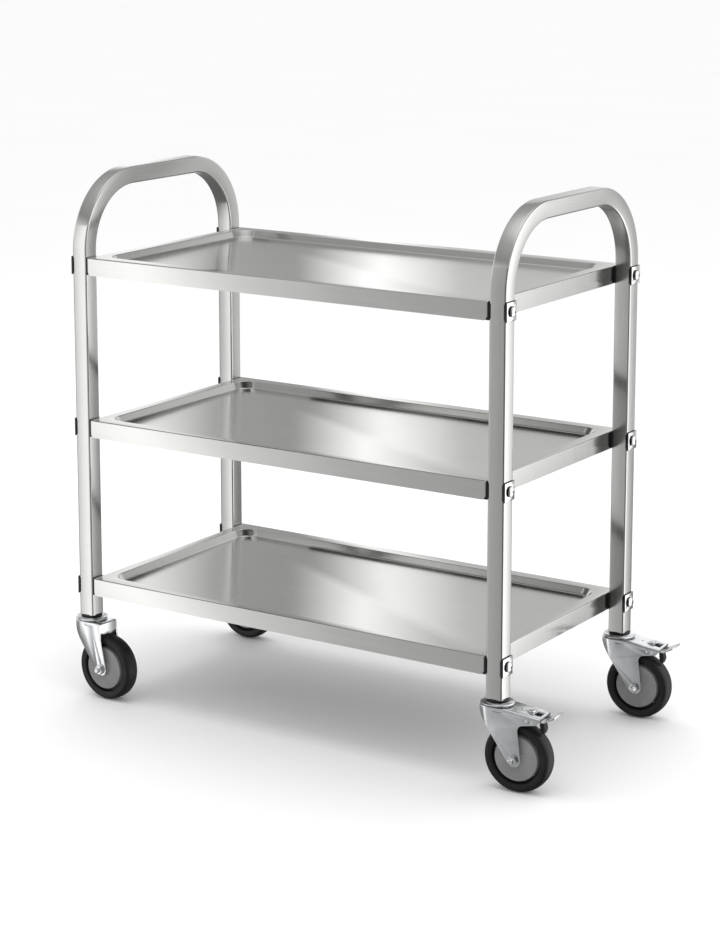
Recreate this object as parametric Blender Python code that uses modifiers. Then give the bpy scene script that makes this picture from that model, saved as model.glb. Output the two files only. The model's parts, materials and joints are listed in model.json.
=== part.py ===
"""Three-tier stainless steel food service trolley, built as it is bolted together.

Two bent end frames carry three pressed shelves on twelve through bolts, and each leg stands on a swivel
castor. The two castors at the right end have a foot brake. Units are metres, +Z is up and the floor is z = 0.
The trolley's length runs along X, its front faces -Y, and its footprint at rest is centred on the origin.
"""

import math

import bmesh
import bpy
from mathutils import Matrix, Vector

# Clearance left between pieces that touch.
GAP = 0.0003

# End frames: one square tube each, bent into an upside-down U whose top is the push handle.
TUBE = 0.027
TUBE_WALL = 0.0012
TUBE_CORNER = 0.003
LEG_X = 0.375
LEG_Y = 0.190
LEG_BOTTOM = 0.1345
HANDLE_TOP = 0.8435
BEND_RADIUS = 0.110
BEND_STEPS = 6

# Shelves: sheet pressed into a shallow tray with a skirt all round.
SHELF_NAMES = ("bottom_shelf", "middle_shelf", "top_shelf")
BOTTOM_SHELF_TOP = 0.1965
SHELF_SPACING = 0.258
SHEET = 0.0009
SKIRT_HEIGHT = 0.0276
RECESS_X = 0.343
RECESS_Y = 0.1825
RECESS_CORNER = 0.028
RECESS_SLOPE = 0.004
RECESS_DEPTH = 0.011

# Shelf fixings, measured outwards or inwards from a leg's centre line.
BOLT_DROP = 0.0137
BOLT_RADIUS = 0.003
BOLT_HEAD_RADIUS = 0.0072
BOLT_HEAD_HEIGHT = 0.0036
BOLT_TAIL = 0.0255
HOLE_RADIUS = BOLT_RADIUS + GAP * 1.5
SLEEVE_RADIUS = 0.0046
SLEEVE_SIDES = 10
PAD = 0.0008
PAD_LIP = 0.0035
FLAT_PAD_HALF = 0.0095
OUTER_PAD_HEIGHT = 0.0285
PLATE = 0.0011
PLATE_SIZE = 0.0275
PLATE_CORNER = 0.002
NUT_RADIUS = 0.0058
NUT_HEIGHT = 0.005
LEG_FACE = TUBE / 2
PAD_FACE = LEG_FACE + GAP + PAD
PLATE_FACE = PAD_FACE + GAP + PLATE
SHELF_X = LEG_X - PAD_FACE - GAP
SHELF_Y = LEG_Y + LEG_FACE
NUT_FACE = PAD_FACE + GAP + SHEET + GAP

# Castors: heights are above the floor, distances along the castor run back from the swivel axis to the wheel.
WHEEL_RADIUS = 0.052
TYRE_HALF_WIDTH = 0.0135
TYRE_BORE = 0.0377
HUB_RADIUS = 0.0371
HUB_HALF_WIDTH = 0.0150
HUB_FACE = 0.0127
HUB_BOSS_RADIUS = 0.0105
TRAIL = 0.035
FORK_TOP = 0.1257
FORK_SHEET = 0.0022
FORK_HALF_WIDTH = 0.0205
NOSE_CENTRE = -0.0065
NOSE_DROP = 0.0035
BOSS_RADIUS = 0.0105
AXLE_RADIUS = 0.004
AXLE_END = 0.0315
AXLE_NUT_RADIUS = 0.0075
AXLE_NUT_HEIGHT = 0.006
STEM_RADIUS = 0.005
STEM_HOLE = 0.0056
STEM_TOP = 0.1635
STEM_HEAD_RADIUS = 0.009
STEM_HEAD_HEIGHT = 0.006
CAP_RADIUS = 0.0254
CAP_SHEET = 0.0021
CAP_SLOPE = 0.0024
FLANGE_RADIUS = 0.0170
FLANGE_TOP = LEG_BOTTOM - GAP
FLANGE_BOTTOM = 0.1321
INSERT_TOP = 0.1615

# Foot brake of the two braked castors.
HOUSING_START = 0.022
HOUSING_END = 0.075
HOUSING_REAR_TOP = 0.119
HOUSING_REAR_BOTTOM = 0.109
HOUSING_REAR_FOOT = 0.0685
ARCH_CENTRE = (0.0495, 0.0965)
ARCH_RADIUS = 0.009
WINDOW_START = 0.0595
WINDOW_END = 0.0705
WINDOW_HALF_WIDTH = 0.010
BRIDGE_END = 0.034
BRIDGE_BOTTOM = 0.1105
PEDAL_PIVOT_X = 0.056
PEDAL_PIVOT_Z = 0.113
PEDAL_EYE = 0.004
PEDAL_SHEET = 0.002
PEDAL_HALF_WIDTH = 0.016
PEDAL_BEND_X = 0.0785
PEDAL_TIP_X = 0.096
PEDAL_TIP_Z = 0.124
PIN_RADIUS = 0.002
PIN_HEAD_RADIUS = 0.0034
PIN_HEAD_HEIGHT = 0.0012
SHOE_CLEARANCE = 0.0045
SHOE_HALF_WIDTH = 0.008
SHOE_START = 0.066
SHOE_END = 0.0765
SHOE_HEEL = (0.0775, 0.1005)
SHOE_ARC = (47, 56)

# Cutters run this far past what they cut.
OVERRUN = 0.01

# Each castor: its leg's signs along X and Y, the way it points in degrees, and whether it has a brake.
CASTORS = {
    "front_left": (-1, -1, -3.0, False),
    "front_right": (1, -1, 4.5, True),
    "back_left": (-1, 1, 0.0, False),
    "back_right": (1, 1, 5.0, True),
}

# The corners of a square of half-side 1, in order round it.
SQUARE = ((1, 1), (-1, 1), (-1, -1), (1, -1))

# Finishes: colour, roughness and metallic value.
FINISHES = {
    "brushed_steel": ((0.62, 0.62, 0.61), 0.28, 1.0),
    "polished_steel": ((0.72, 0.72, 0.71), 0.18, 1.0),
    "zinc_plated": ((0.66, 0.67, 0.68), 0.30, 1.0),
    "black_plastic": ((0.02, 0.02, 0.02), 0.45, 0.0),
    "grey_plastic": ((0.25, 0.25, 0.25), 0.50, 0.0),
    "tyre_rubber": ((0.035, 0.035, 0.037), 0.65, 0.0),
}


# Scene and materials

def clear_scene():
    for item in list(bpy.data.objects):
        bpy.data.objects.remove(item, do_unlink=True)


def new_collection(name):
    collection = bpy.data.collections.new(name)
    bpy.context.scene.collection.children.link(collection)
    return collection


def finish_for(piece, finish):
    colour, roughness, metallic = FINISHES[finish]
    material = bpy.data.materials.new(piece.name + "_" + finish)
    material.use_nodes = True
    shader = material.node_tree.nodes["Principled BSDF"]
    shader.inputs["Base Color"].default_value = (*colour, 1.0)
    shader.inputs["Roughness"].default_value = roughness
    shader.inputs["Metallic"].default_value = metallic
    return material


# Shape tools: each returns a loose object that a later step cuts, copies or names

def link_loose(name, data):
    loose = bpy.data.objects.new(name, data)
    bpy.context.scene.collection.objects.link(loose)
    return loose


def evaluated_mesh(loose):
    """The loose object's finished mesh, welded and moved to where the object stood; the object is removed."""
    bpy.context.view_layer.update()
    graph = bpy.context.evaluated_depsgraph_get()
    mesh = bpy.data.meshes.new_from_object(loose.evaluated_get(graph))
    mesh.transform(loose.matrix_world)
    bpy.data.objects.remove(loose, do_unlink=True)
    shape = bmesh.new()
    shape.from_mesh(mesh)
    bmesh.ops.remove_doubles(shape, verts=shape.verts, dist=0.00001)
    shape.to_mesh(mesh)
    shape.free()
    mesh.materials.clear()
    return mesh


def prism(outline, low, high, turn=Matrix.Identity(4)):
    """A flat outline with thickness from low to high along its normal, then turned into place."""
    curve = bpy.data.curves.new("outline", "CURVE")
    curve.dimensions = "2D"
    curve.fill_mode = "BOTH"
    curve.extrude = (high - low) / 2
    spline = curve.splines.new("POLY")
    spline.points.add(len(outline) - 1)
    for point, (x, y) in zip(spline.points, outline):
        point.co = (x, y, 0.0, 1.0)
    spline.use_cyclic_u = True
    loose = link_loose("prism", curve)
    loose.matrix_world = turn @ Matrix.Translation((0.0, 0.0, (low + high) / 2))
    return link_loose("prism", evaluated_mesh(loose))


def side_prism(outline, half_width):
    """An outline of (along, up) points, as thick across Y as twice half_width."""
    return prism(outline, -half_width, half_width, Matrix.Rotation(math.pi / 2, 4, "X"))


def rod(radius, start, end, segments, axis, through=(0.0, 0.0, 0.0)):
    """A round rod along X, Y or Z between two distances from the point it passes through."""
    shape = bmesh.new()
    bmesh.ops.create_cone(
        shape, cap_ends=True, segments=segments, radius1=radius, radius2=radius, depth=end - start
    )
    mesh = bpy.data.meshes.new("rod")
    shape.to_mesh(mesh)
    shape.free()
    turns = {"X": Matrix.Rotation(math.pi / 2, 4, "Y"), "Y": Matrix.Rotation(-math.pi / 2, 4, "X")}
    turn = turns.get(axis, Matrix.Identity(4))
    mesh.transform(Matrix.Translation(through) @ turn @ Matrix.Translation((0.0, 0.0, (start + end) / 2)))
    return link_loose("rod", mesh)


def block(low, high):
    """A box between two opposite corners."""
    low, high = Vector(low), Vector(high)
    shape = bmesh.new()
    bmesh.ops.create_cube(shape, size=1.0)
    mesh = bpy.data.meshes.new("block")
    shape.to_mesh(mesh)
    shape.free()
    mesh.transform(Matrix.Translation((low + high) / 2) @ Matrix.Diagonal((*(high - low), 1.0)))
    return link_loose("block", mesh)


def turned(profile, segments, closed, turn=Matrix.Identity(4)):
    """A profile of (radius, height) points, running down its outer side, swept once round Z."""
    mesh = bpy.data.meshes.new("profile")
    count = len(profile)
    edges = [(i, i + 1) for i in range(count - 1)]
    if closed:
        edges.append((count - 1, 0))
    mesh.from_pydata([(radius, 0.0, height) for radius, height in profile], edges, [])
    loose = link_loose("turned", mesh)
    screw = loose.modifiers.new("turn", "SCREW")
    screw.steps = segments
    screw.render_steps = segments
    screw.use_merge_vertices = True
    screw.merge_threshold = 0.00001
    loose.matrix_world = turn
    return link_loose("turned", evaluated_mesh(loose))


def combine(loose, tools, operation):
    """Cuts, joins or intersects a loose object with others, which are used up."""
    for tool in tools:
        boolean = loose.modifiers.new("tool", "BOOLEAN")
        boolean.operation = operation
        boolean.solver = "EXACT"
        boolean.object = tool
    mesh = evaluated_mesh(loose)
    for tool in tools:
        bpy.data.objects.remove(tool, do_unlink=True)
    return link_loose("combined", mesh)


def arc(centre, radius, start, end, steps):
    """Points along an arc, its angles in degrees."""
    angles = [math.radians(start + (end - start) * i / steps) for i in range(steps + 1)]
    return [(centre[0] + radius * math.cos(a), centre[1] + radius * math.sin(a)) for a in angles]


def rounded_rectangle(half_x, half_y, radius, steps):
    points = []
    for sign_x, sign_y, start in ((1, 1, 0), (-1, 1, 90), (-1, -1, 180), (1, -1, 270)):
        centre = (sign_x * (half_x - radius), sign_y * (half_y - radius))
        points += arc(centre, radius, start, start + 90, steps)
    return points


# Nodes

def make_node(name, mesh, finish, collection, parent):
    piece = bpy.data.objects.new(name, mesh)
    collection.objects.link(piece)
    piece.parent = parent
    piece.data.materials.append(finish_for(piece, finish))
    piece.data.shade_smooth()
    piece.data.set_sharp_from_angle(angle=math.radians(32))
    return piece


def make_empty(name, parent, collection, location, yaw=0.0):
    empty = bpy.data.objects.new(name, None)
    collection.objects.link(empty)
    empty.empty_display_size = 0.03
    empty.parent = parent
    empty.location = location
    empty.rotation_euler = (0.0, 0.0, math.radians(yaw))
    return empty


def shelf_heights():
    return [BOTTOM_SHELF_TOP + SHELF_SPACING * i for i in range(len(SHELF_NAMES))]


def corners():
    """The four legs by name, with their signs along X and Y."""
    return {name: place[:2] for name, place in CASTORS.items()}


def leg_place(side_x, side_y, height=0.0):
    """Puts a fixing made with +X outwards on its leg's centre line."""
    outwards = Matrix.Rotation(0.0 if side_x > 0 else math.pi, 4, "Z")
    return Matrix.Translation((side_x * LEG_X, side_y * LEG_Y, height)) @ outwards


# End frames

def frame_path(overrun):
    """The tube's centre line across (Y) and up (Z): leg, bend, handle, bend, leg."""
    top = HANDLE_TOP - TUBE / 2
    bend_y = LEG_Y - BEND_RADIUS
    bend_z = top - BEND_RADIUS
    path = [(LEG_Y, LEG_BOTTOM - overrun)]
    path += arc((bend_y, bend_z), BEND_RADIUS, 0, 90, BEND_STEPS)
    path += arc((-bend_y, bend_z), BEND_RADIUS, 90, 180, BEND_STEPS)
    path.append((-LEG_Y, LEG_BOTTOM - overrun))
    return path


def square_sweep(path, section):
    """A section swept along a path that lies across and up, made a welded mesh."""
    outline = bpy.data.curves.new("section", "CURVE")
    outline.dimensions = "2D"
    ring = outline.splines.new("POLY")
    ring.points.add(len(section) - 1)
    for point, (x, y) in zip(ring.points, section):
        point.co = (x, y, 0.0, 1.0)
    ring.use_cyclic_u = True
    section_object = link_loose("section", outline)
    curve = bpy.data.curves.new("path", "CURVE")
    curve.dimensions = "2D"
    curve.bevel_mode = "OBJECT"
    curve.bevel_object = section_object
    curve.use_fill_caps = True
    spline = curve.splines.new("POLY")
    spline.points.add(len(path) - 1)
    for point, (across, up) in zip(spline.points, path):
        point.co = (across, up, 0.0, 1.0)
    loose = link_loose("sweep", curve)
    loose.matrix_world = Matrix(((0, 0, 1, 0), (1, 0, 0, 0), (0, 1, 0, 0), (0, 0, 0, 1)))
    mesh = evaluated_mesh(loose)
    bpy.data.objects.remove(section_object, do_unlink=True)
    shape = bmesh.new()
    shape.from_mesh(mesh)
    bmesh.ops.recalc_face_normals(shape, faces=shape.faces)
    shape.to_mesh(mesh)
    shape.free()
    return link_loose("sweep", mesh)


def end_frame():
    outer = square_sweep(frame_path(0.0), rounded_rectangle(TUBE / 2, TUBE / 2, TUBE_CORNER, 2))
    bore_half = TUBE / 2 - TUBE_WALL
    bore = square_sweep(frame_path(OVERRUN), [(bore_half * x, bore_half * y) for x, y in SQUARE])
    holes = [
        rod(SLEEVE_RADIUS + GAP, -TUBE, TUBE, SLEEVE_SIDES, "X", (0.0, side * LEG_Y, height - BOLT_DROP))
        for height in shelf_heights()
        for side in (-1, 1)
    ]
    return combine(combine(outer, [bore], "DIFFERENCE"), holes, "DIFFERENCE")


# Shelves

def tray_surface():
    """The tray's outer skin, open underneath: skirt, rim, sloping recess wall and floor."""
    shape = bmesh.new()
    bmesh.ops.create_cube(shape, size=1.0)
    bmesh.ops.scale(shape, vec=(2 * SHELF_X, 2 * SHELF_Y, SKIRT_HEIGHT), verts=shape.verts)
    bmesh.ops.translate(shape, vec=(0.0, 0.0, -SKIRT_HEIGHT / 2), verts=shape.verts)
    under = [face for face in shape.faces if face.normal.z < -0.5]
    bmesh.ops.delete(shape, geom=under, context="FACES_ONLY")
    top = next(face for face in shape.faces if face.normal.z > 0.5)
    bmesh.ops.inset_region(shape, faces=[top], thickness=SHELF_X - RECESS_X)
    for corner in top.verts:
        corner.co.y = math.copysign(RECESS_Y, corner.co.y)
    bmesh.ops.bevel(
        shape, geom=list(top.verts), offset=RECESS_CORNER, segments=4, profile=0.5, affect="VERTICES"
    )
    floor = max((f for f in shape.faces if f.normal.z > 0.5), key=lambda f: len(f.verts))
    bmesh.ops.inset_region(shape, faces=[floor], thickness=RECESS_SLOPE, depth=-RECESS_DEPTH)
    mesh = bpy.data.meshes.new("tray")
    shape.to_mesh(mesh)
    shape.free()
    return link_loose("tray", mesh)


def shelf():
    tray = tray_surface()
    sheet = tray.modifiers.new("sheet", "SOLIDIFY")
    sheet.thickness = SHEET
    sheet.offset = -1.0
    sheet.use_even_offset = True
    holes = [
        rod(HOLE_RADIUS, -OVERRUN, OVERRUN, 8, "X", (end * SHELF_X, side * LEG_Y, -BOLT_DROP))
        for end in (-1, 1)
        for side in (-1, 1)
    ]
    return combine(tray, holes, "DIFFERENCE")


# Shelf fixings: each is made round its leg's centre line, at bolt height, with +X outwards

def shelf_bolt():
    """Button-head bolt with the square plate under its head and the nut behind the shelf's skirt."""
    under_head = PLATE_FACE
    slopes = [math.radians(angle) for angle in (90, 60, 28, 0)]
    dome = [
        (BOLT_HEAD_RADIUS * math.cos(slope), under_head + BOLT_HEAD_HEIGHT * math.sin(slope))
        for slope in slopes
    ]
    neck = under_head - PLATE / 2
    shank = [(BOLT_HEAD_RADIUS, neck), (BOLT_RADIUS, neck), (BOLT_RADIUS, -BOLT_TAIL), (0.0, -BOLT_TAIL)]
    bolt = turned(dome + shank, 8, False, Matrix.Rotation(math.pi / 2, 4, "Y"))
    outline = rounded_rectangle(PLATE_SIZE / 2, PLATE_SIZE / 2, PLATE_CORNER, 1)
    plate = prism(outline, PAD_FACE + GAP, PLATE_FACE, Matrix.Rotation(math.pi / 2, 4, "Y"))
    nut = rod(NUT_RADIUS, -NUT_FACE - NUT_HEIGHT, -NUT_FACE, 6, "X")
    return combine(bolt, [plate, nut], "UNION")


def saddle_pad(side, height):
    """A channel that clips over a leg: its web lies on one face, its two lips on the faces beside it."""
    lip = LEG_FACE - PAD_LIP
    inside = LEG_FACE + GAP
    outside = inside + PAD
    half = [(PAD_FACE, outside), (lip, outside), (lip, inside), (inside, inside)]
    outline = half + [(x, -y) for x, y in reversed(half)]
    return prism([(side * x, side * y) for x, y in outline], -height / 2, height / 2)


def flat_pad(height):
    """A pad without lips, between a leg and the shelf's skirt."""
    return block((-PAD_FACE, -FLAT_PAD_HALF, -height / 2), (-LEG_FACE - GAP, FLAT_PAD_HALF, height / 2))


def saddle(lipped):
    """The two pads of one leg at one shelf, joined by the sleeve that runs through the leg round the bolt."""
    inner_height = SKIRT_HEIGHT - 2 * GAP
    inner = saddle_pad(-1, inner_height) if lipped else flat_pad(inner_height)
    sleeve = rod(SLEEVE_RADIUS, -PAD_FACE, PAD_FACE, SLEEVE_SIDES, "X")
    whole = combine(saddle_pad(1, OUTER_PAD_HEIGHT), [inner, sleeve], "UNION")
    return combine(whole, [rod(HOLE_RADIUS, -TUBE, TUBE, 8, "X")], "DIFFERENCE")


# Castors: made with the swivel axis on Z and the wheel trailing along +X

def leg_insert():
    """Plastic plug in the leg's foot, with a round flange below it and a hole for the stem."""
    plug_half = TUBE / 2 - TUBE_WALL - GAP
    plug = block((-plug_half, -plug_half, FLANGE_BOTTOM), (plug_half, plug_half, INSERT_TOP))
    flange = rod(FLANGE_RADIUS, FLANGE_BOTTOM, FLANGE_TOP, 16, "Z")
    whole = combine(plug, [flange], "UNION")
    hole = rod(STEM_HOLE, FLANGE_BOTTOM - OVERRUN, INSERT_TOP + OVERRUN, 10, "Z")
    return combine(whole, [hole], "DIFFERENCE")


def swivel_head():
    """The castor's still half: stem, sloping cap, the bearing under it and the rivet head inside the fork."""
    head_top = FORK_TOP - FORK_SHEET - GAP
    cap_top = FLANGE_BOTTOM - GAP
    bearing_top = cap_top - CAP_SHEET
    profile = [
        (0.0, STEM_TOP), (STEM_RADIUS, STEM_TOP), (STEM_RADIUS, cap_top), (FLANGE_RADIUS, cap_top),
        (CAP_RADIUS, cap_top - CAP_SLOPE), (CAP_RADIUS, cap_top - CAP_SLOPE - CAP_SHEET),
        (FLANGE_RADIUS, bearing_top), (FLANGE_RADIUS, FORK_TOP + GAP), (STEM_RADIUS, FORK_TOP + GAP),
        (STEM_RADIUS, head_top), (STEM_HEAD_RADIUS, head_top),
        (STEM_HEAD_RADIUS, head_top - STEM_HEAD_HEIGHT), (0.0, head_top - STEM_HEAD_HEIGHT),
    ]
    return turned(profile, 16, False)


def tangent_angle(point, centre, radius, side):
    """The angle in degrees, round the circle, of the point where a line from outside touches it."""
    dx, dz = point[0] - centre[0], point[1] - centre[1]
    spread = math.acos(radius / math.hypot(dx, dz))
    return math.degrees(math.atan2(dz, dx) + side * spread)


def fork_outline(braked):
    """The fork from the side: crown, rear edge, round axle boss, and the straight slanting front edge."""
    axle = (TRAIL, WHEEL_RADIUS)
    nose = NOSE_CENTRE - FORK_HALF_WIDTH
    front = (nose, FORK_TOP - NOSE_DROP)
    if braked:
        rear = [
            (HOUSING_START, FORK_TOP), (HOUSING_END, HOUSING_REAR_TOP),
            (HOUSING_REAR_FOOT, HOUSING_REAR_BOTTOM), *arc(ARCH_CENTRE, ARCH_RADIUS, 96, 185, 4),
        ]
    else:
        rear = [(BRIDGE_END, FORK_TOP), (BRIDGE_END, BRIDGE_BOTTOM)]
    start = tangent_angle(rear[-1], axle, BOSS_RADIUS, -1)
    end = tangent_angle(front, axle, BOSS_RADIUS, 1) - 360
    return [(nose, FORK_TOP), *rear, *arc(axle, BOSS_RADIUS, start, end, 8), front]


def fork_plan(half_width, rear):
    """The fork from above: a half-round nose and parallel cheeks."""
    nose = arc((NOSE_CENTRE, 0.0), half_width, 90, 270, 8)
    return [(rear, half_width), *nose, (rear, -half_width)]


def fork_hollow(braked):
    """What is cut from under the crown: the fork's own shape, one sheet thickness smaller."""
    under = FORK_TOP - FORK_SHEET
    front = NOSE_CENTRE - FORK_HALF_WIDTH - OVERRUN
    rear = HOUSING_END + OVERRUN
    bottom = -OVERRUN
    if braked:
        slope = (HOUSING_REAR_TOP - FORK_TOP) / (HOUSING_END - HOUSING_START)
        roof = [(HOUSING_START, under), (rear, under + slope * (rear - HOUSING_START))]
    else:
        wall = BRIDGE_END - FORK_SHEET
        roof = [(wall, under), (wall, BRIDGE_BOTTOM - GAP), (rear, BRIDGE_BOTTOM - GAP)]
    side = side_prism([(front, bottom), (front, under), *roof, (rear, bottom)], FORK_HALF_WIDTH * 2)
    plan = prism(fork_plan(FORK_HALF_WIDTH - FORK_SHEET, rear), bottom, FORK_TOP)
    return combine(side, [plan], "INTERSECT")


def cross_hole(radius, segments, along, up):
    """A cutter through both cheeks of a fork."""
    reach = FORK_HALF_WIDTH + OVERRUN
    return rod(radius, -reach, reach, segments, "Y", (along, 0.0, up))


def fork(braked):
    side = side_prism(fork_outline(braked), FORK_HALF_WIDTH * 2)
    plan = prism(fork_plan(FORK_HALF_WIDTH, HOUSING_END + OVERRUN), 0.0, LEG_BOTTOM)
    body = combine(side, [plan], "INTERSECT")
    body = combine(body, [fork_hollow(braked)], "DIFFERENCE")
    cutters = [
        rod(STEM_HOLE, FORK_TOP - OVERRUN, FORK_TOP + OVERRUN, 10, "Z"),
        cross_hole(AXLE_RADIUS + GAP, 10, TRAIL, WHEEL_RADIUS),
    ]
    if braked:
        cutters.append(cross_hole(PIN_RADIUS + GAP, 8, PEDAL_PIVOT_X, PEDAL_PIVOT_Z))
        window_low = (WINDOW_START, -WINDOW_HALF_WIDTH, HOUSING_REAR_BOTTOM + FORK_SHEET)
        cutters.append(block(window_low, (WINDOW_END, WINDOW_HALF_WIDTH, FORK_TOP)))
    return combine(body, cutters, "DIFFERENCE")


def axle():
    """Bolt with its hexagon head behind the wheel and its nut in front, where the threaded end stands out."""
    cheek = FORK_HALF_WIDTH + GAP
    shank = rod(AXLE_RADIUS, -AXLE_END, cheek + AXLE_NUT_HEIGHT / 2, 12, "Y")
    head = rod(AXLE_NUT_RADIUS, cheek, cheek + AXLE_NUT_HEIGHT, 6, "Y")
    nut = rod(AXLE_NUT_RADIUS, -cheek - AXLE_NUT_HEIGHT, -cheek, 6, "Y")
    return combine(shank, [head, nut], "UNION")


def mirrored_profile(half):
    """A ring's profile from its half above the middle plane, given from the bore outwards."""
    return half + [(radius, -height) for radius, height in reversed(half) if height > 0]


AXLE_TURN = Matrix.Rotation(math.pi / 2, 4, "X")


def wheel_hub():
    """Moulded wheel centre: a raised boss round the bore, a flat face and a narrower rim under the tyre."""
    half = [
        (AXLE_RADIUS + GAP, HUB_HALF_WIDTH), (HUB_BOSS_RADIUS, HUB_HALF_WIDTH),
        (HUB_BOSS_RADIUS + 0.0005, HUB_FACE), (HUB_RADIUS - 0.0017, HUB_FACE), (HUB_RADIUS, 0.0080),
    ]
    return turned(mirrored_profile(half), 20, True, AXLE_TURN)


def wheel_tyre():
    """Solid rubber ring with a groove beside the hub and a rounded tread."""
    half = [
        (TYRE_BORE, 0.0080), (TYRE_BORE + 0.0031, 0.0085), (TYRE_BORE + 0.0036, 0.0125),
        (WHEEL_RADIUS - 0.0062, TYRE_HALF_WIDTH), (WHEEL_RADIUS - 0.0023, 0.0118),
        (WHEEL_RADIUS - 0.0004, 0.0070), (WHEEL_RADIUS, 0.0),
    ]
    return turned(mirrored_profile(half), 24, True, AXLE_TURN)


def brake_pedal():
    """Pressed lever: an eye round the pin, an arm under the housing and a pad that rises behind it."""
    pivot = (PEDAL_PIVOT_X, PEDAL_PIVOT_Z)
    rise = math.atan2(PEDAL_TIP_Z - PEDAL_PIVOT_Z - PEDAL_SHEET, PEDAL_TIP_X - PEDAL_BEND_X)
    edge = Vector((math.sin(rise), -math.cos(rise))) * PEDAL_SHEET
    tip = (PEDAL_TIP_X, PEDAL_TIP_Z)
    under_tip = (tip[0] + edge.x, tip[1] + edge.y)
    outline = [
        (PEDAL_BEND_X - GAP, PEDAL_PIVOT_Z + PEDAL_SHEET), tip, under_tip, (PEDAL_BEND_X, PEDAL_PIVOT_Z),
        (PEDAL_PIVOT_X + PEDAL_EYE, PEDAL_PIVOT_Z), *arc(pivot, PEDAL_EYE, -30, -300, 6),
    ]
    pin_hole = cross_hole(PIN_RADIUS + GAP, 8, *pivot)
    return combine(side_prism(outline, PEDAL_HALF_WIDTH), [pin_hole], "DIFFERENCE")


def brake_shoe():
    """Rubber block under the pedal, its lower face following the tyre at a small distance."""
    top = PEDAL_PIVOT_Z - GAP
    contact = arc((TRAIL, WHEEL_RADIUS), WHEEL_RADIUS + SHOE_CLEARANCE, *SHOE_ARC, 2)
    return side_prism([(SHOE_END, top), (SHOE_START, top), *reversed(contact), SHOE_HEEL], SHOE_HALF_WIDTH)


def pivot_pin():
    """Rivet through both cheeks, with a small head outside each."""
    cheek = FORK_HALF_WIDTH + GAP
    head = cheek + PIN_HEAD_HEIGHT
    half = [(0.0, head), (PIN_HEAD_RADIUS, head), (PIN_HEAD_RADIUS, cheek), (PIN_RADIUS, cheek)]
    profile = half + [(radius, -height) for radius, height in reversed(half)]
    return turned(profile, 8, False, AXLE_TURN)


# Assembly

def build_frame(collection, root):
    for side, sign in (("left", -1), ("right", 1)):
        frame = make_node("end_frame_" + side, evaluated_mesh(end_frame()), "brushed_steel", collection, root)
        frame.location.x = sign * LEG_X
    for name, height in zip(SHELF_NAMES, shelf_heights()):
        tray = make_node(name, evaluated_mesh(shelf()), "brushed_steel", collection, root)
        tray.location.z = height


def build_fixings(collection, root):
    """A bolt and a saddle at each crossing; only the saddles of the right-hand legs have lips inside."""
    for shelf_name, height in zip(SHELF_NAMES, shelf_heights()):
        for corner, signs in corners().items():
            place = leg_place(*signs, height - BOLT_DROP)
            bolt = evaluated_mesh(shelf_bolt())
            pads = evaluated_mesh(saddle(lipped=signs[0] > 0))
            for kind, mesh, finish in (("bolt", bolt, "polished_steel"), ("saddle", pads, "black_plastic")):
                piece = make_node(f"{shelf_name}_{kind}_{corner}", mesh, finish, collection, root)
                piece.matrix_local = place


def build_leg_feet(collection, root):
    for corner, signs in corners().items():
        for ending, make, finish in (
            ("_leg_insert", leg_insert, "black_plastic"),
            ("_swivel_head", swivel_head, "zinc_plated"),
        ):
            piece = make_node(corner + ending, evaluated_mesh(make()), finish, collection, root)
            piece.matrix_local = leg_place(*signs)


def build_castor(name, place, collection, root):
    side_x, side_y, yaw, braked = place
    swivel = make_empty(name + "_swivel", root, collection, (side_x * LEG_X, side_y * LEG_Y, 0.0), yaw)
    wheel = make_empty(name + "_wheel", swivel, collection, (TRAIL, 0.0, WHEEL_RADIUS))
    make_node(name + "_fork", evaluated_mesh(fork(braked)), "zinc_plated", collection, swivel)
    for ending, make, finish in (
        ("_axle", axle, "zinc_plated"),
        ("_hub", wheel_hub, "grey_plastic"),
        ("_tyre", wheel_tyre, "tyre_rubber"),
    ):
        make_node(name + ending, evaluated_mesh(make()), finish, collection, wheel)
    if braked:
        build_brake(name, swivel, collection)


def build_brake(name, swivel, collection):
    pivot = Vector((PEDAL_PIVOT_X, 0.0, PEDAL_PIVOT_Z))
    pedal = make_empty(name + "_pedal", swivel, collection, pivot)
    for ending, make, finish in (
        ("_brake_pedal", brake_pedal, "zinc_plated"),
        ("_brake_shoe", brake_shoe, "black_plastic"),
    ):
        mesh = evaluated_mesh(make())
        mesh.transform(Matrix.Translation(-pivot))
        make_node(name + ending, mesh, finish, collection, pedal)
    pin = make_node(name + "_pivot_pin", evaluated_mesh(pivot_pin()), "zinc_plated", collection, swivel)
    pin.location = pivot


def footprint_middle(collection):
    """The middle of the whole trolley's box along X and Y, to a tenth of a millimetre."""
    bpy.context.view_layer.update()
    corners = [
        piece.matrix_world @ vert.co
        for piece in collection.objects
        if piece.type == "MESH"
        for vert in piece.data.vertices
    ]
    middles = []
    for axis in (0, 1):
        values = [corner[axis] for corner in corners]
        middles.append(round((min(values) + max(values)) / 2, 4))
    return middles


def build_trolley():
    clear_scene()
    collection = new_collection("food_service_trolley")
    root = make_empty("trolley", None, collection, (0.0, 0.0, 0.0))
    build_frame(collection, root)
    build_fixings(collection, root)
    build_leg_feet(collection, root)
    for name, place in CASTORS.items():
        build_castor(name, place, collection, root)
    middle_x, middle_y = footprint_middle(collection)
    root.location = (-middle_x, -middle_y, 0.0)
    bpy.context.view_layer.update()
    return root


build_trolley()
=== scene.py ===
# %% [markdown]
# # A three-tier food service trolley in brushed stainless steel
#
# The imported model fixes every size, place and joint of this trolley. This lesson dresses it: each plain
# solid gets a finely made piece on top, with the small radii, pressed edges and brushed grain of the real
# thing. All lengths are metres. +X runs along the trays, the front faces -Y, and the floor is z = 0.

# %% Load the fixed frame
import json
import math

import bmesh
import bpy
from mathutils import Matrix, Vector

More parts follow.
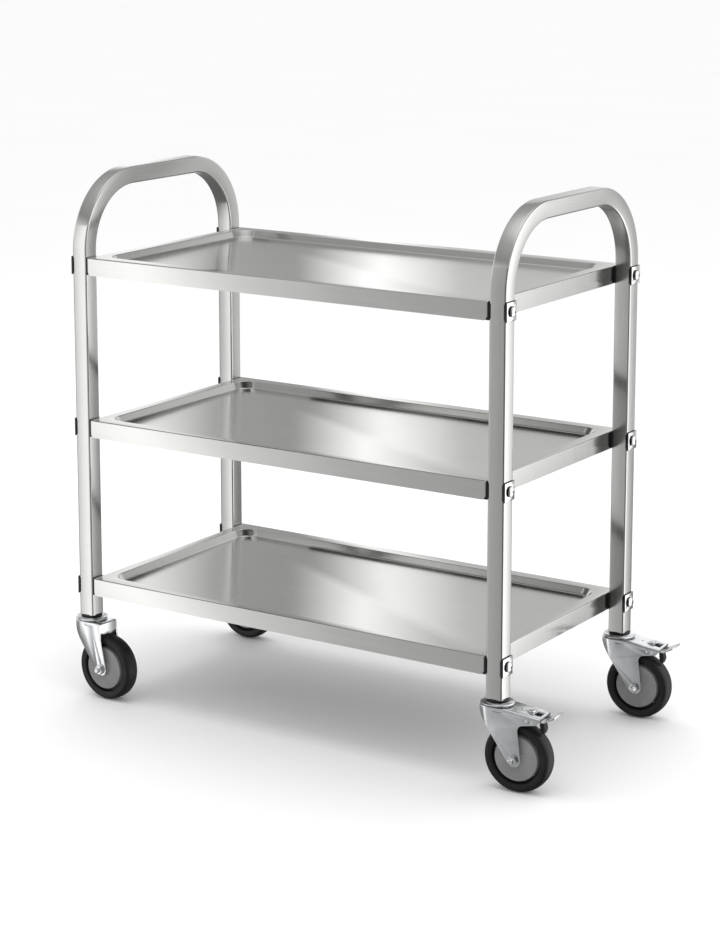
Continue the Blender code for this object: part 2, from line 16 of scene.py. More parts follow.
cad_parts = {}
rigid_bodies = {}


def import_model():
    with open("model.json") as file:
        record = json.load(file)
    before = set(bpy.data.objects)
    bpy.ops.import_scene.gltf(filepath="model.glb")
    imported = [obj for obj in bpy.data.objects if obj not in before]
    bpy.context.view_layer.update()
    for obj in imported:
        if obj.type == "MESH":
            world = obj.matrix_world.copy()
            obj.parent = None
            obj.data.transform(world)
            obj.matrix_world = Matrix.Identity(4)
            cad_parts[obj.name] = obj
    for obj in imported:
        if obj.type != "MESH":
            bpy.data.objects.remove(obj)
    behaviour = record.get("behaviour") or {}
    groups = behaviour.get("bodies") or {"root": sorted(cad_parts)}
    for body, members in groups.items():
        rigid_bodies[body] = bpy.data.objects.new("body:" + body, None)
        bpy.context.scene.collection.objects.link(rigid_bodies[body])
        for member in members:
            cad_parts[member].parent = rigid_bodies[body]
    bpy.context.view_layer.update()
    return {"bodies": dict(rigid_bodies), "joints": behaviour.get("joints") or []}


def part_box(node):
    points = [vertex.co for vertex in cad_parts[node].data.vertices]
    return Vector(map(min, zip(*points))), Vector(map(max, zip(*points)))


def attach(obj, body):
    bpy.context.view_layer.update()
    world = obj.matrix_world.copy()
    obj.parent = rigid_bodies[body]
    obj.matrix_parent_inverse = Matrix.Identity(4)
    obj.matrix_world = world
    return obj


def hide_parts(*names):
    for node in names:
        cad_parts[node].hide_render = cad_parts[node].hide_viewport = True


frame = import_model()

# %% [markdown]
# ## Reading the sizes
#
# Nothing is measured twice. The legs' places come from the end frames' boxes, the tray heights from the
# trays' boxes, and the castors' axes from the joints. Only the small features that the plain solids leave
# out, such as edge radii, are new numbers, and each is named where it is first used.

# %% Sizes that come from the frame
GAP = 0.0003
FRAME_BODY = "trolley_frame"
SIDES = ("left", "right")
SHELVES = ("bottom_shelf", "middle_shelf", "top_shelf")
CORNERS = ("front_left", "front_right", "back_left", "back_right")

frame_boxes = {side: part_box("end_frame_" + side) for side in SIDES}
left_low, left_high = frame_boxes["left"]
TUBE = left_high[0] - left_low[0]
LEG_X = {side: (low[0] + high[0]) / 2 for side, (low, high) in frame_boxes.items()}
LEG_Y = (left_high[1] - left_low[1] - TUBE) / 2
MIDDLE = Vector(((LEG_X["left"] + LEG_X["right"]) / 2, (left_low[1] + left_high[1]) / 2, 0.0))
LEG_FOOT = left_low[2]
HANDLE_TOP = left_high[2]
SHELF_TOP = {name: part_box(name)[1][2] for name in SHELVES}
TRAY_HALF = [(high - low) / 2 for low, high in zip(*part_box("top_shelf"))][:2]
SKIRT = SHELF_TOP["top_shelf"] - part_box("top_shelf")[0][2]
JOINTS = {joint["name"]: joint for joint in frame["joints"]}
print("tube", round(TUBE, 4), "leg spacing across", round(2 * LEG_Y, 4), "tray tops", SHELF_TOP)


# %% [markdown]
# ## Shape helpers
#
# Most pieces of a trolley are cut from flat outlines or turned on a lathe, so four helpers make nearly all
# of them: a prism from an outline, a turned solid from a profile, a Boolean, and a soft edge. Each gives
# back a plain mesh, because a finished piece must stand at the origin with its place in its vertices.

# %% Arcs, outlines and plain meshes
WELD = 0.000004
UPRIGHT = Matrix.Identity(4)
ALONG_X = Matrix.Rotation(math.pi / 2, 4, "Y")
ALONG_Y = Matrix.Rotation(math.pi / 2, 4, "X")


def arc(centre, radius, start, end, steps):
    """Points along an arc, its angles in degrees."""
    angles = [math.radians(start + (end - start) * i / steps) for i in range(steps + 1)]
    return [(centre[0] + radius * math.cos(a), centre[1] + radius * math.sin(a)) for a in angles]


def rounded_rectangle(half_x, half_y, radius, steps):
    points = []
    for sign_x, sign_y, start in ((1, 1, 0), (-1, 1, 90), (-1, -1, 180), (1, -1, 270)):
        centre = (sign_x * (half_x - radius), sign_y * (half_y - radius))
        points += arc(centre, radius, start, start + 90, steps)
    return points


def place_object(name, data):
    """A new object in the scene, at the origin."""
    made = bpy.data.objects.new(name, data)
    bpy.context.scene.collection.objects.link(made)
    return made


def plain_mesh(shape, name):
    """A bmesh made a mesh."""
    mesh = bpy.data.meshes.new(name)
    shape.to_mesh(mesh)
    shape.free()
    return mesh


def tidy_mesh(shape, name):
    """Welds a bmesh, turns its faces outwards and makes it a mesh."""
    bmesh.ops.remove_doubles(shape, verts=shape.verts, dist=WELD)
    bmesh.ops.recalc_face_normals(shape, faces=shape.faces)
    return plain_mesh(shape, name)


def prism(outline, low, high, turn=UPRIGHT):
    """A flat outline with thickness from low to high along its normal, then turned into place."""
    shape = bmesh.new()
    face = shape.faces.new([shape.verts.new((x, y, low)) for x, y in outline])
    extruded = bmesh.ops.extrude_face_region(shape, geom=[face])["geom"]
    top = [item for item in extruded if isinstance(item, bmesh.types.BMVert)]
    bmesh.ops.translate(shape, vec=(0, 0, high - low), verts=top)
    mesh = tidy_mesh(shape, "prism")
    mesh.transform(turn)
    return mesh


def side_prism(outline, half_width):
    """An outline of (along, up) points, as thick across Y as twice half_width."""
    return prism(outline, -half_width, half_width, ALONG_Y)


def turned(profile, segments, turn=UPRIGHT):
    """A profile of (radius, height) points swept once round Z, from axis to axis or as a closed ring."""
    shape = bmesh.new()
    points = [shape.verts.new((radius, 0.0, height)) for radius, height in profile]
    on_axis = profile[0][0] == 0.0 and profile[-1][0] == 0.0
    pairs = list(zip(points, points[1:])) + ([] if on_axis else [(points[-1], points[0])])
    edges = [shape.edges.new(pair) for pair in pairs]
    bmesh.ops.spin(
        shape, geom=points + edges, cent=(0, 0, 0), axis=(0, 0, 1), angle=2 * math.pi, steps=segments,
        use_duplicate=False,
    )
    mesh = tidy_mesh(shape, "turned")
    mesh.transform(turn)
    return mesh


def rod(radius, start, end, turn=UPRIGHT, through=(0.0, 0.0, 0.0), segments=32):
    """A round rod between two heights, turned into place and moved so that its axis goes through a point."""
    mesh = turned([(0.0, end), (radius, end), (radius, start), (0.0, start)], segments, turn)
    mesh.transform(Matrix.Translation(through))
    return mesh


# %% Booleans, soft edges and copies
def evaluated(holder):
    """The finished mesh of an object that carries modifiers; the object is removed."""
    graph = bpy.context.evaluated_depsgraph_get()
    mesh = bpy.data.meshes.new_from_object(holder.evaluated_get(graph))
    bpy.data.objects.remove(holder, do_unlink=True)
    return mesh


def combine(mesh, tools, operation="DIFFERENCE"):
    """Cuts, joins or intersects a mesh with others."""
    for tool_mesh in tools:
        holder, tool = place_object("work", mesh), place_object("tool", tool_mesh)
        boolean = holder.modifiers.new("tool", "BOOLEAN")
        boolean.operation = operation
        boolean.object = tool
        mesh = evaluated(holder)
        bpy.data.objects.remove(tool, do_unlink=True)
    return mesh


def soften(mesh, width, segments=2, angle=30.0):
    """Rounds every edge sharper than the angle, and keeps the flat faces flat to the eye."""
    holder = place_object("work", mesh)
    bevel = holder.modifiers.new("edges", "BEVEL")
    bevel.width = width
    bevel.segments = segments
    bevel.angle_limit = math.radians(angle)
    bevel.harden_normals = False
    return evaluated(holder)


def moved(mesh, place):
    copy = mesh.copy()
    copy.transform(place)
    return copy


def joined(meshes):
    """Several solids as one mesh of separate shells."""
    shape = bmesh.new()
    for mesh in meshes:
        shape.from_mesh(mesh)
    return plain_mesh(shape, "joined")


# %% [markdown]
# ## Finishes
#
# Brushed steel is the whole look of this trolley. A belt leaves thousands of fine scratches that all run
# one way, so the metal blurs reflections across the scratches and keeps them sharper along them. Three
# things make that: streaky noise stretched along the grain drives the roughness and a faint bump, the
# shader's own anisotropy stretches highlights, and a tangent says which way. The grain follows each sheet
# or tube, so it reads a UV map named "grain", whose U runs across the scratches and V along them, both in
# metres.

# %% Material helpers
def new_material(name, colour, roughness, metallic=0.0, **fixed):
    """A Principled material; the fixed values go straight on the shader's own sockets."""
    material = bpy.data.materials.new(name)
    material.use_nodes = True
    shader = material.node_tree.nodes["Principled BSDF"]
    shader.inputs["Base Color"].default_value = (*colour, 1.0)
    shader.inputs["Roughness"].default_value = roughness
    shader.inputs["Metallic"].default_value = metallic
    for socket, value in fixed.items():
        shader.inputs[socket.replace("_", " ")].default_value = value
    return material, material.node_tree, shader


def add_node(tree, kind, **settings):
    node = tree.nodes.new(kind)
    for name, value in settings.items():
        if name in node.inputs:
            node.inputs[name].default_value = value
        else:
            setattr(node, name, value)
    return node


def noise(tree, vector, scale, detail=4.0, stretch=(1.0, 1.0, 1.0)):
    """Noise on stretched coordinates: a small stretch along an axis draws the pattern out along it."""
    mapping = add_node(tree, "ShaderNodeMapping")
    mapping.inputs["Scale"].default_value = stretch
    tree.links.new(vector, mapping.inputs["Vector"])
    texture = add_node(tree, "ShaderNodeTexNoise", Scale=scale, Detail=detail)
    tree.links.new(mapping.outputs["Vector"], texture.inputs["Vector"])
    return texture.outputs["Fac"]


def ranged(tree, value, low, high, start=0.3, end=0.7):
    """Maps a noise value between two limits."""
    node = add_node(tree, "ShaderNodeMapRange")
    node.inputs["From Min"].default_value = start
    node.inputs["From Max"].default_value = end
    node.inputs["To Min"].default_value = low
    node.inputs["To Max"].default_value = high
    tree.links.new(value, node.inputs["Value"])
    return node.outputs["Result"]


def tinted(tree, value, dark, light):
    """A colour between two colours."""
    ramp = add_node(tree, "ShaderNodeValToRGB")
    ramp.color_ramp.elements[0].color = (*dark, 1.0)
    ramp.color_ramp.elements[1].color = (*light, 1.0)
    tree.links.new(value, ramp.inputs["Fac"])
    return ramp.outputs["Color"]


def bumped(tree, shader, height, strength, distance):
    bump = add_node(tree, "ShaderNodeBump", Strength=strength, Distance=distance)
    tree.links.new(height, bump.inputs["Height"])
    tree.links.new(bump.outputs["Normal"], shader.inputs["Normal"])


# %% Brushed stainless steel
def brushed_steel(name, colour, smooth, rough, anisotropy):
    """Steel with its grain along the V direction of the grain map."""
    material, tree, shader = new_material(name, colour, rough, 1.0, Anisotropic=anisotropy)
    grain = add_node(tree, "ShaderNodeUVMap", uv_map="grain").outputs["UV"]
    fine = noise(tree, grain, 2600.0, 2.0, (1.0, 0.010, 1.0))
    broad = noise(tree, grain, 260.0, 3.0, (1.0, 0.015, 1.0))
    patches = noise(tree, grain, 9.0, 3.0)
    mixed = add_node(tree, "ShaderNodeMix", data_type="FLOAT")
    mixed.inputs["Factor"].default_value = 0.35
    tree.links.new(fine, mixed.inputs["A"])
    tree.links.new(broad, mixed.inputs["B"])
    streaks = mixed.outputs["Result"]
    tree.links.new(ranged(tree, streaks, smooth, rough), shader.inputs["Roughness"])
    dark = tuple(channel * 0.90 for channel in colour)
    light = tuple(min(1.0, channel * 1.05) for channel in colour)
    shade = add_node(tree, "ShaderNodeMath", operation="ADD")
    tree.links.new(ranged(tree, streaks, 0.0, 0.7), shade.inputs[0])
    tree.links.new(ranged(tree, patches, 0.0, 0.3), shade.inputs[1])
    tree.links.new(tinted(tree, shade.outputs[0], dark, light), shader.inputs["Base Color"])
    bumped(tree, shader, streaks, 0.10, 0.00003)
    tangent = add_node(tree, "ShaderNodeTangent", direction_type="UV_MAP", uv_map="grain")
    tree.links.new(tangent.outputs["Tangent"], shader.inputs["Tangent"])
    return material


# %% Plain metals, plastics and rubber
def speckled(name, colour, roughness, metallic, scale, spread, bump, **fixed):
    """A finish with a soft cloudy variation and a fine texture, both on Object coordinates."""
    material, tree, shader = new_material(name, colour, roughness, metallic, **fixed)
    place = add_node(tree, "ShaderNodeTexCoord").outputs["Object"]
    clouds = noise(tree, place, 45.0, 3.0)
    grains = noise(tree, place, scale, 4.0)
    dark = tuple(channel * (1 - spread) for channel in colour)
    light = tuple(min(1.0, channel * (1 + spread)) for channel in colour)
    tree.links.new(tinted(tree, ranged(tree, clouds, 0.0, 1.0), dark, light), shader.inputs["Base Color"])
    tree.links.new(ranged(tree, grains, roughness * 0.85, roughness * 1.2), shader.inputs["Roughness"])
    bumped(tree, shader, grains, bump, 0.0002)
    return material


DULL = {"Specular IOR Level": 0.3}
FINISHES = {
    "brushed_tube": brushed_steel("brushed_tube_steel", (0.55, 0.55, 0.54), 0.11, 0.19, 0.85),
    "brushed_tray": brushed_steel("brushed_tray_steel", (0.54, 0.54, 0.527), 0.10, 0.18, 0.85),
    "polished_fixing": speckled("bright_fixings", (0.66, 0.66, 0.65), 0.09, 1.0, 900.0, 0.04, 0.02),
    "zinc_plate": speckled("satin_zinc", (0.68, 0.69, 0.70), 0.22, 1.0, 1400.0, 0.07, 0.04),
    "black_plastic": speckled("black_moulding", (0.006,) * 3, 0.30, 0.0, 1800.0, 0.25, 0.05, **DULL),
    "black_rubber": speckled("brake_rubber", (0.010,) * 3, 0.55, 0.0, 1500.0, 0.3, 0.15, **DULL),
    "grey_plastic": speckled("hub_moulding", (0.19,) * 3, 0.42, 0.0, 1600.0, 0.10, 0.10),
    "tyre_rubber": speckled(
        "tyre_rubber_finish", (0.009, 0.009, 0.010), 0.50, 0.0, 1300.0, 0.30, 0.15, **DULL
    ),
}
print("finishes", ", ".join(FINISHES))


# %% [markdown]
# ## Putting a piece on the trolley
#
# Every finished piece rides on a body, names the finish slot it stands in, and hides the plain solids that
# it replaces. One helper does all of that, so no piece is left behind when a castor turns.

# %% The piece helper
def place_piece(name, mesh, body, slot, nodes=(), sharp=35.0):
    piece = place_object(name, mesh)
    mesh.name = name
    mesh.materials.clear()
    mesh.materials.append(FINISHES[slot])
    mesh.polygons.foreach_set("material_index", [0] * len(mesh.polygons))
    mesh.shade_smooth()
    mesh.set_sharp_from_angle(angle=math.radians(sharp))
    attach(piece, body)
    if nodes:
        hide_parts(*nodes)
    return piece


# %% [markdown]
# ## End frames
#
# Each end frame is one length of square tube, bent on a mandrel into an upside-down U: two legs and a push
# handle. A sweep is a rule, so Geometry Nodes makes it: a three-sided path is filleted to the bend radius,
# a square section is filleted to the tube's corner radius, and Curve to Mesh draws one along the other. Two
# lengths are stored on the way, round the section and along the path, and become the grain map, so the
# scratches follow the bend.

# %% A small kit for building node trees
def new_tree(name, inputs):
    """A geometry tree with named inputs: each is (name, socket type, value)."""
    tree = bpy.data.node_groups.new(name, "GeometryNodeTree")
    tree.interface.new_socket("Geometry", in_out="INPUT", socket_type="NodeSocketGeometry")
    for label, kind, value in inputs:
        socket = tree.interface.new_socket(label, in_out="INPUT", socket_type=kind)
        if value is not None:
            socket.default_value = value
    tree.interface.new_socket("Geometry", in_out="OUTPUT", socket_type="NodeSocketGeometry")
    start = tree.nodes.new("NodeGroupInput")
    end = tree.nodes.new("NodeGroupOutput")
    return tree, start, end


def chain(tree, source, *steps):
    """Links geometry from one node to the next through sockets given by name."""
    for node, socket in steps:
        tree.links.new(source, node.inputs[socket])
        source = node.outputs[0]
    return source


def feed(tree, start, *wires):
    """Links the group's named inputs to nodes: each wire is (input, node, socket)."""
    for label, node, socket in wires:
        tree.links.new(start.outputs[label], node.inputs[socket])


def run_tree(tree, mesh, values):
    """Sets a tree's inputs by identifier, runs it on a mesh and gives back a plain mesh."""
    holder = place_object("work", mesh)
    modifier = holder.modifiers.new("nodes", "NODES")
    modifier.node_group = tree
    for item in tree.interface.items_tree:
        if item.in_out == "INPUT" and item.name in values:
            modifier[item.identifier] = values[item.name]
    return evaluated(holder)


# %% The bent tube's tree
def bent_tube_tree():
    tree, start, end = new_tree("bent_square_tube", (
        ("Side", "NodeSocketFloat", TUBE),
        ("Corner Radius", "NodeSocketFloat", 0.003),
        ("Bend Radius", "NodeSocketFloat", 0.11),
        ("Material", "NodeSocketMaterial", None),
    ))
    path = tree.nodes.new("GeometryNodeMeshToCurve")
    bend = add_node(tree, "GeometryNodeFilletCurve", mode="POLY", Count=40)
    section = tree.nodes.new("GeometryNodeCurvePrimitiveQuadrilateral")
    round_off = add_node(tree, "GeometryNodeFilletCurve", mode="POLY", Count=7)
    lengths = []
    for label in ("along", "around"):
        store = add_node(
            tree, "GeometryNodeStoreNamedAttribute", data_type="FLOAT", domain="POINT", Name=label
        )
        length = tree.nodes.new("GeometryNodeSplineParameter")
        tree.links.new(length.outputs["Length"], store.inputs["Value"])
        lengths.append(store)
    sweep = add_node(tree, "GeometryNodeCurveToMesh")
    sweep.inputs["Fill Caps"].default_value = True
    realize = tree.nodes.new("GeometryNodeRealizeInstances")
    finish = tree.nodes.new("GeometryNodeSetMaterial")
    feed(
        tree, start, ("Side", section, "Width"), ("Side", section, "Height"),
        ("Corner Radius", round_off, "Radius"), ("Bend Radius", bend, "Radius"),
        ("Material", finish, "Material"),
    )
    ring = chain(tree, section.outputs[0], (round_off, "Curve"), (lengths[1], "Geometry"))
    tree.links.new(ring, sweep.inputs["Profile Curve"])
    shape = chain(
        tree, start.outputs["Geometry"], (path, "Mesh"), (bend, "Curve"), (lengths[0], "Geometry"),
        (sweep, "Curve"), (realize, "Geometry"), (finish, "Geometry"),
    )
    tree.links.new(shape, end.inputs[0])
    return tree


# %% Grain maps
def add_grain_map(mesh, across, along):
    """Writes the grain map: two functions give each corner's place from its vertex and face."""
    layer = mesh.uv_layers.new(name="grain")
    for polygon in mesh.polygons:
        for loop in polygon.loop_indices:
            vertex = mesh.loops[loop].vertex_index
            layer.data[loop].uv = (across(vertex, polygon), along(vertex, polygon))
    return mesh


def tube_grain(mesh):
    around = [item.value for item in mesh.attributes["around"].data]
    along = [item.value for item in mesh.attributes["along"].data]
    girth = 4 * TUBE

    def across(vertex, polygon):
        values = [around[v] for v in polygon.vertices]
        wraps = max(values) - min(values) > girth / 2
        return around[vertex] + (girth if wraps and around[vertex] < girth / 4 else 0.0)

    add_grain_map(mesh, across, lambda vertex, polygon: along[vertex])
    mesh.attributes.remove(mesh.attributes["around"])
    mesh.attributes.remove(mesh.attributes["along"])
    return mesh


# %% Bend both end frames
TUBE_CORNER = 0.0029
BEND_RADIUS = 0.110


def frame_path(x):
    """The sharp-cornered path of one frame's centre line."""
    top = HANDLE_TOP - TUBE / 2
    points = [(-LEG_Y, LEG_FOOT), (-LEG_Y, top), (LEG_Y, top), (LEG_Y, LEG_FOOT)]
    mesh = bpy.data.meshes.new("path")
    mesh.from_pydata([(x, MIDDLE.y + y, z) for y, z in points], [(0, 1), (1, 2), (2, 3)], [])
    return mesh


tube_tree = bent_tube_tree()
for side in SIDES:
    values = {
        "Side": TUBE,
        "Corner Radius": TUBE_CORNER,
        "Bend Radius": BEND_RADIUS,
        "Material": FINISHES["brushed_tube"],
    }
    tube = run_tree(tube_tree, frame_path(LEG_X[side]), values)
    shape = bmesh.new()
    shape.from_mesh(tube)
    bmesh.ops.remove_doubles(shape, verts=shape.verts, dist=WELD)
    bmesh.ops.recalc_face_normals(shape, faces=shape.faces)
    shape.to_mesh(tube)
    shape.free()
    name = "end_frame_tube_" + side
    piece = place_piece(name, tube_grain(tube), FRAME_BODY, "brushed_tube", ["end_frame_" + side])
    print(name, len(piece.data.polygons), "faces, size", [round(v, 4) for v in piece.dimensions])


# %% [markdown]
# ## Trays
#
# A tray is pressed from one sheet: a skirt folded down all round, a flat rim, a sloping wall and a floor 11
# mm lower. The outline changes on the way in, from nearly square corners at the skirt to wide round ones at
# the recess, so a plain sweep can't make it. A loft can: the same number of points goes round every ring,
# and each ring has its own size, corner radius and height. Solidify then gives the sheet its real
# thickness.

# %% Rings of the tray
SHEET = 0.0009
SKIRT_CORNER = 0.0026
FOLD = 0.0022
FOOT_ROUNDING = 0.0045
RECESS_HALF = (0.343, 0.1825)
RECESS_CORNER = 0.029
RECESS_DEPTH = 0.011
LIP_RADIUS = 0.0018
FLOOR_RADIUS = 0.0032
WALL_SLOPE = 62.0
NEAR_CORNER = (0.0, 0.0008, 0.0018, 0.0030, 0.0045, 0.0080)


def ring(half_x, half_y, radius, steps=14):
    """A rounded rectangle with extra points on its straight sides beside each corner."""
    points = []
    for sign_x, sign_y, start in ((1, 1, 0), (-1, 1, 90), (-1, -1, 180), (1, -1, 270)):
        centre = Vector((sign_x * (half_x - radius), sign_y * (half_y - radius)))
        bend = [Vector(point) for point in arc(centre, radius, start, start + 90, steps)]
        before = Vector((-math.sin(math.radians(start)), math.cos(math.radians(start))))
        after = Vector((-math.sin(math.radians(start + 90)), math.cos(math.radians(start + 90))))
        points += [bend[0] - before * away for away in reversed(NEAR_CORNER[1:])]
        points += bend
        points += [bend[-1] + after * away for away in NEAR_CORNER[1:]]
    return points


def corner_closeness(index, steps=14):
    """How far a ring's point is from the corner's bend, along the straight side; zero on the bend."""
    extra = len(NEAR_CORNER) - 1
    place = index % (steps + 1 + 2 * extra)
    if place < extra:
        return NEAR_CORNER[extra - place]
    if place > extra + steps:
        return NEAR_CORNER[place - extra - steps]
    return 0.0


def tray_rings():
    """Each ring's points with heights below the rim, from the skirt's lower edge to the tray's floor."""
    rings = []
    outline = ring(*TRAY_HALF, SKIRT_CORNER)
    foot = []
    for index, point in enumerate(outline):
        away = min(corner_closeness(index), FOOT_ROUNDING)
        rise = FOOT_ROUNDING - math.sqrt(FOOT_ROUNDING ** 2 - (FOOT_ROUNDING - away) ** 2)
        foot.append((point.x, point.y, rise - SKIRT))
    rings.append(foot)
    rings.append([(p.x, p.y, -SKIRT + FOOT_ROUNDING + 0.0006) for p in outline])
    for inset, drop in arc((FOLD, -FOLD), FOLD, 180, 90, 7):
        points = ring(TRAY_HALF[0] - inset, TRAY_HALF[1] - inset, SKIRT_CORNER - inset)
        rings.append([(p.x, p.y, drop) for p in points])
    for inset, drop in recess_profile():
        points = ring(RECESS_HALF[0] - inset, RECESS_HALF[1] - inset, RECESS_CORNER - inset * 0.6)
        rings.append([(p.x, p.y, drop) for p in points])
    return rings


def recess_profile():
    """From the rim's inner edge to the floor: a rounded lip, a straight slope and a hollow fillet."""
    slope = math.radians(WALL_SLOPE)
    lip = [
        (LIP_RADIUS * math.sin(slope * i / 5), -LIP_RADIUS * (1 - math.cos(slope * i / 5))) for i in range(6)
    ]
    fillet_drop = FLOOR_RADIUS * (1 - math.cos(slope))
    straight_drop = RECESS_DEPTH + lip[-1][1] - fillet_drop
    foot_inset = lip[-1][0] + straight_drop / math.tan(slope)
    fillet = []
    for i in range(8):
        angle = slope * (1 - i / 7)
        inset = foot_inset + FLOOR_RADIUS * (math.sin(slope) - math.sin(angle))
        fillet.append((inset, -RECESS_DEPTH + FLOOR_RADIUS * (1 - math.cos(angle))))
    return lip + fillet


# %% Press the three trays
def tray_mesh():
    shape = bmesh.new()
    rows = [[shape.verts.new(point) for point in points] for points in tray_rings()]
    for lower, upper in zip(rows, rows[1:]):
        for i in range(len(lower)):
            j = (i + 1) % len(lower)
            shape.faces.new((lower[i], lower[j], upper[j], upper[i]))
    shape.faces.new(rows[-1])
    holder = place_object("work", plain_mesh(shape, "tray"))
    sheet = holder.modifiers.new("sheet", "SOLIDIFY")
    sheet.thickness = SHEET
    sheet.offset = -1.0
    sheet.use_even_offset = True
    return evaluated(holder)


def tray_grain(mesh):
    """The sheet laid flat: the skirts' drop is added outside the rim, and the grain runs along the tray."""
    points = [vertex.co.copy() for vertex in mesh.vertices]

    def unfolded(vertex, polygon, axis):
        point = points[vertex]
        facing = abs(polygon.normal[axis]) > 0.75
        return point[axis] - math.copysign(point.z, point[axis]) * (1.0 if facing else 0.0)

    return add_grain_map(mesh, lambda v, p: unfolded(v, p, 1), lambda v, p: unfolded(v, p, 0))


pressed = tray_grain(tray_mesh())
for name in SHELVES:
    place = Matrix.Translation((MIDDLE.x, MIDDLE.y, SHELF_TOP[name]))
    piece = place_piece(name + "_tray", moved(pressed, place), FRAME_BODY, "brushed_tray", [name], sharp=40.0)
    print(piece.name, len(piece.data.polygons), "faces, size", [round(v, 4) for v in piece.dimensions])


# %% [markdown]
# ## Shelf fixings
#
# Twelve sets of the same fixings hold the trays: a button-head bolt on a black ring, a square plate, black
# saddle pads on both sides of the leg and a nut inside the tray. The black ring is painted shade: a dark
# ring that stands in for the shade between the bolt head and the plate. The fixings only repeat, so each is
# modelled once, lying along +X at the middle of its leg, and Geometry Nodes puts a copy at each of the
# twelve points, turned to face outwards.

# %% Where the fixings are
BOLT_DROP = 0.0137
LEG_FACE = TUBE / 2
PAD = 0.0008
PLATE = 0.0011
PAD_FACE = LEG_FACE + GAP + PAD
PLATE_FACE = PAD_FACE + GAP + PLATE


def fixing_points(sides=("left", "right")):
    """One vertex for each fixing, with the angle that turns +X outwards."""
    turns = {"left": math.pi, "right": 0.0}
    places = [
        (LEG_X[side], MIDDLE.y + across * LEG_Y, SHELF_TOP[shelf] - BOLT_DROP, turns[side])
        for shelf in SHELVES
        for side in sides
        for across in (-1, 1)
    ]
    mesh = bpy.data.meshes.new("fixing_points")
    mesh.from_pydata([place[:3] for place in places], [], [])
    turn = mesh.attributes.new("turn", "FLOAT", "POINT")
    turn.data.foreach_set("value", [place[3] for place in places])
    return mesh


def copies_tree():
    """A copy of one object at every point, turned about Z by the point's own angle."""
    tree, start, end = new_tree("fixings_at_points", (
        ("Fixing", "NodeSocketObject", None),
        ("Material", "NodeSocketMaterial", None),
    ))
    fixing = tree.nodes.new("GeometryNodeObjectInfo")
    points = tree.nodes.new("GeometryNodeMeshToPoints")
    copies = tree.nodes.new("GeometryNodeInstanceOnPoints")
    turn = add_node(tree, "GeometryNodeInputNamedAttribute", data_type="FLOAT", Name="turn")
    angles = tree.nodes.new("ShaderNodeCombineXYZ")
    realize = tree.nodes.new("GeometryNodeRealizeInstances")
    finish = tree.nodes.new("GeometryNodeSetMaterial")
    feed(tree, start, ("Fixing", fixing, "Object"), ("Material", finish, "Material"))
    tree.links.new(fixing.outputs["Geometry"], copies.inputs["Instance"])
    tree.links.new(turn.outputs["Attribute"], angles.inputs["Z"])
    tree.links.new(angles.outputs["Vector"], copies.inputs["Rotation"])
    shape = chain(
        tree, start.outputs["Geometry"], (points, "Mesh"), (copies, "Points"), (realize, "Geometry"),
        (finish, "Geometry"),
    )
    tree.links.new(shape, end.inputs[0])
    return tree


# %% One of each fixing
HEAD_RADIUS = 0.0079
HEAD_HEIGHT = 0.0036
HEAD_RIM = 0.0010
BOLT_RADIUS = 0.003
BOLT_TAIL = 0.0255
PLATE_HALF = 0.0135
SOCKET_RADIUS = 0.0022
SOCKET_DEPTH = 0.0018
PAD_HOLE = 0.0046
NUT_CORNER = 0.0058
NUT_THICKNESS = 0.005
NUT_HOLE = 0.0032
PAD_LIP = 0.0024
# Thickness of the black ring under each bolt head, a painted shade that stands in for the shade between head
# and plate.
SHADE_RING = 0.0011
LIP_CHAMFER = 0.0034
REACH = 0.1
HEEL_LENGTH = 0.006
HEEL_HEIGHT = 0.0062
FLAT_PAD_HALF = 0.0125
OUTER_PAD_HEIGHT = 0.0285


def button_bolt():
    """Domed head with a hexagon socket, on a plain shank."""
    seat = PLATE_FACE + SHADE_RING + 2 * GAP
    squash = (HEAD_HEIGHT - HEAD_RIM) / HEAD_RADIUS
    rounding = arc((0.0, 0.0), HEAD_RADIUS, 90, 0, 10)
    dome = [(radius, seat + HEAD_RIM + height * squash) for radius, height in rounding]
    shank = [(HEAD_RADIUS - GAP, seat), (BOLT_RADIUS, seat), (BOLT_RADIUS, -BOLT_TAIL), (0.0, -BOLT_TAIL)]
    bolt = turned([(0.0, dome[0][1]), *dome[1:], *shank], 32, ALONG_X)
    hexagon = arc((0.0, 0.0), SOCKET_RADIUS, 0, 300, 5)
    return combine(bolt, [prism(hexagon, seat + HEAD_HEIGHT - SOCKET_DEPTH, REACH, ALONG_X)])


def bored(mesh, radius):
    """The mesh with a hole of that radius along X."""
    return combine(mesh, [rod(radius, -REACH, REACH, ALONG_X, segments=24)])


def flat_plate(near, far, half_width, height, hole, edge):
    """A plate square to X between two distances, with a hole and soft edges."""
    outline = [(near, half_width), (far, half_width), (far, -half_width), (near, -half_width)]
    return soften(bored(prism(outline, -height / 2, height / 2), hole), edge, 2)


def square_plate():
    """The bright flat plate under the bolt head."""
    return flat_plate(PAD_FACE + GAP, PLATE_FACE, PLATE_HALF, 2 * PLATE_HALF, BOLT_RADIUS + GAP, 0.0003)


def painted_shade_ring():
    """Black ring between the plate and the bolt head: painted shade, a dark ring standing in for the shade
    under the head.
    """
    bore = BOLT_RADIUS + GAP
    low = PLATE_FACE + GAP
    high = low + SHADE_RING
    return turned([(bore, high), (HEAD_RADIUS, high), (HEAD_RADIUS, low), (bore, low)], 40, ALONG_X)


def lipped_pad(side, height):
    """A web on the leg's outer or inner face with two lips, whose free corners are cut off."""
    inside = LEG_FACE + GAP
    outside = inside + PAD
    lip = LEG_FACE - PAD_LIP
    half = [(outside, outside), (lip, outside), (lip, inside), (inside, inside)]
    outline = half + [(x, -y) for x, y in reversed(half)]
    body = prism([(side * x, side * y) for x, y in outline], -height / 2, height / 2)
    reach = 2 * LEG_FACE
    mould = side_prism(rounded_rectangle(reach, height / 2, LIP_CHAMFER, 1), reach)
    mould.transform(Matrix.Translation((side * (lip + reach), 0.0, 0.0)))
    return soften(bored(combine(body, [mould], "INTERSECT"), PAD_HOLE), 0.0003, 2)


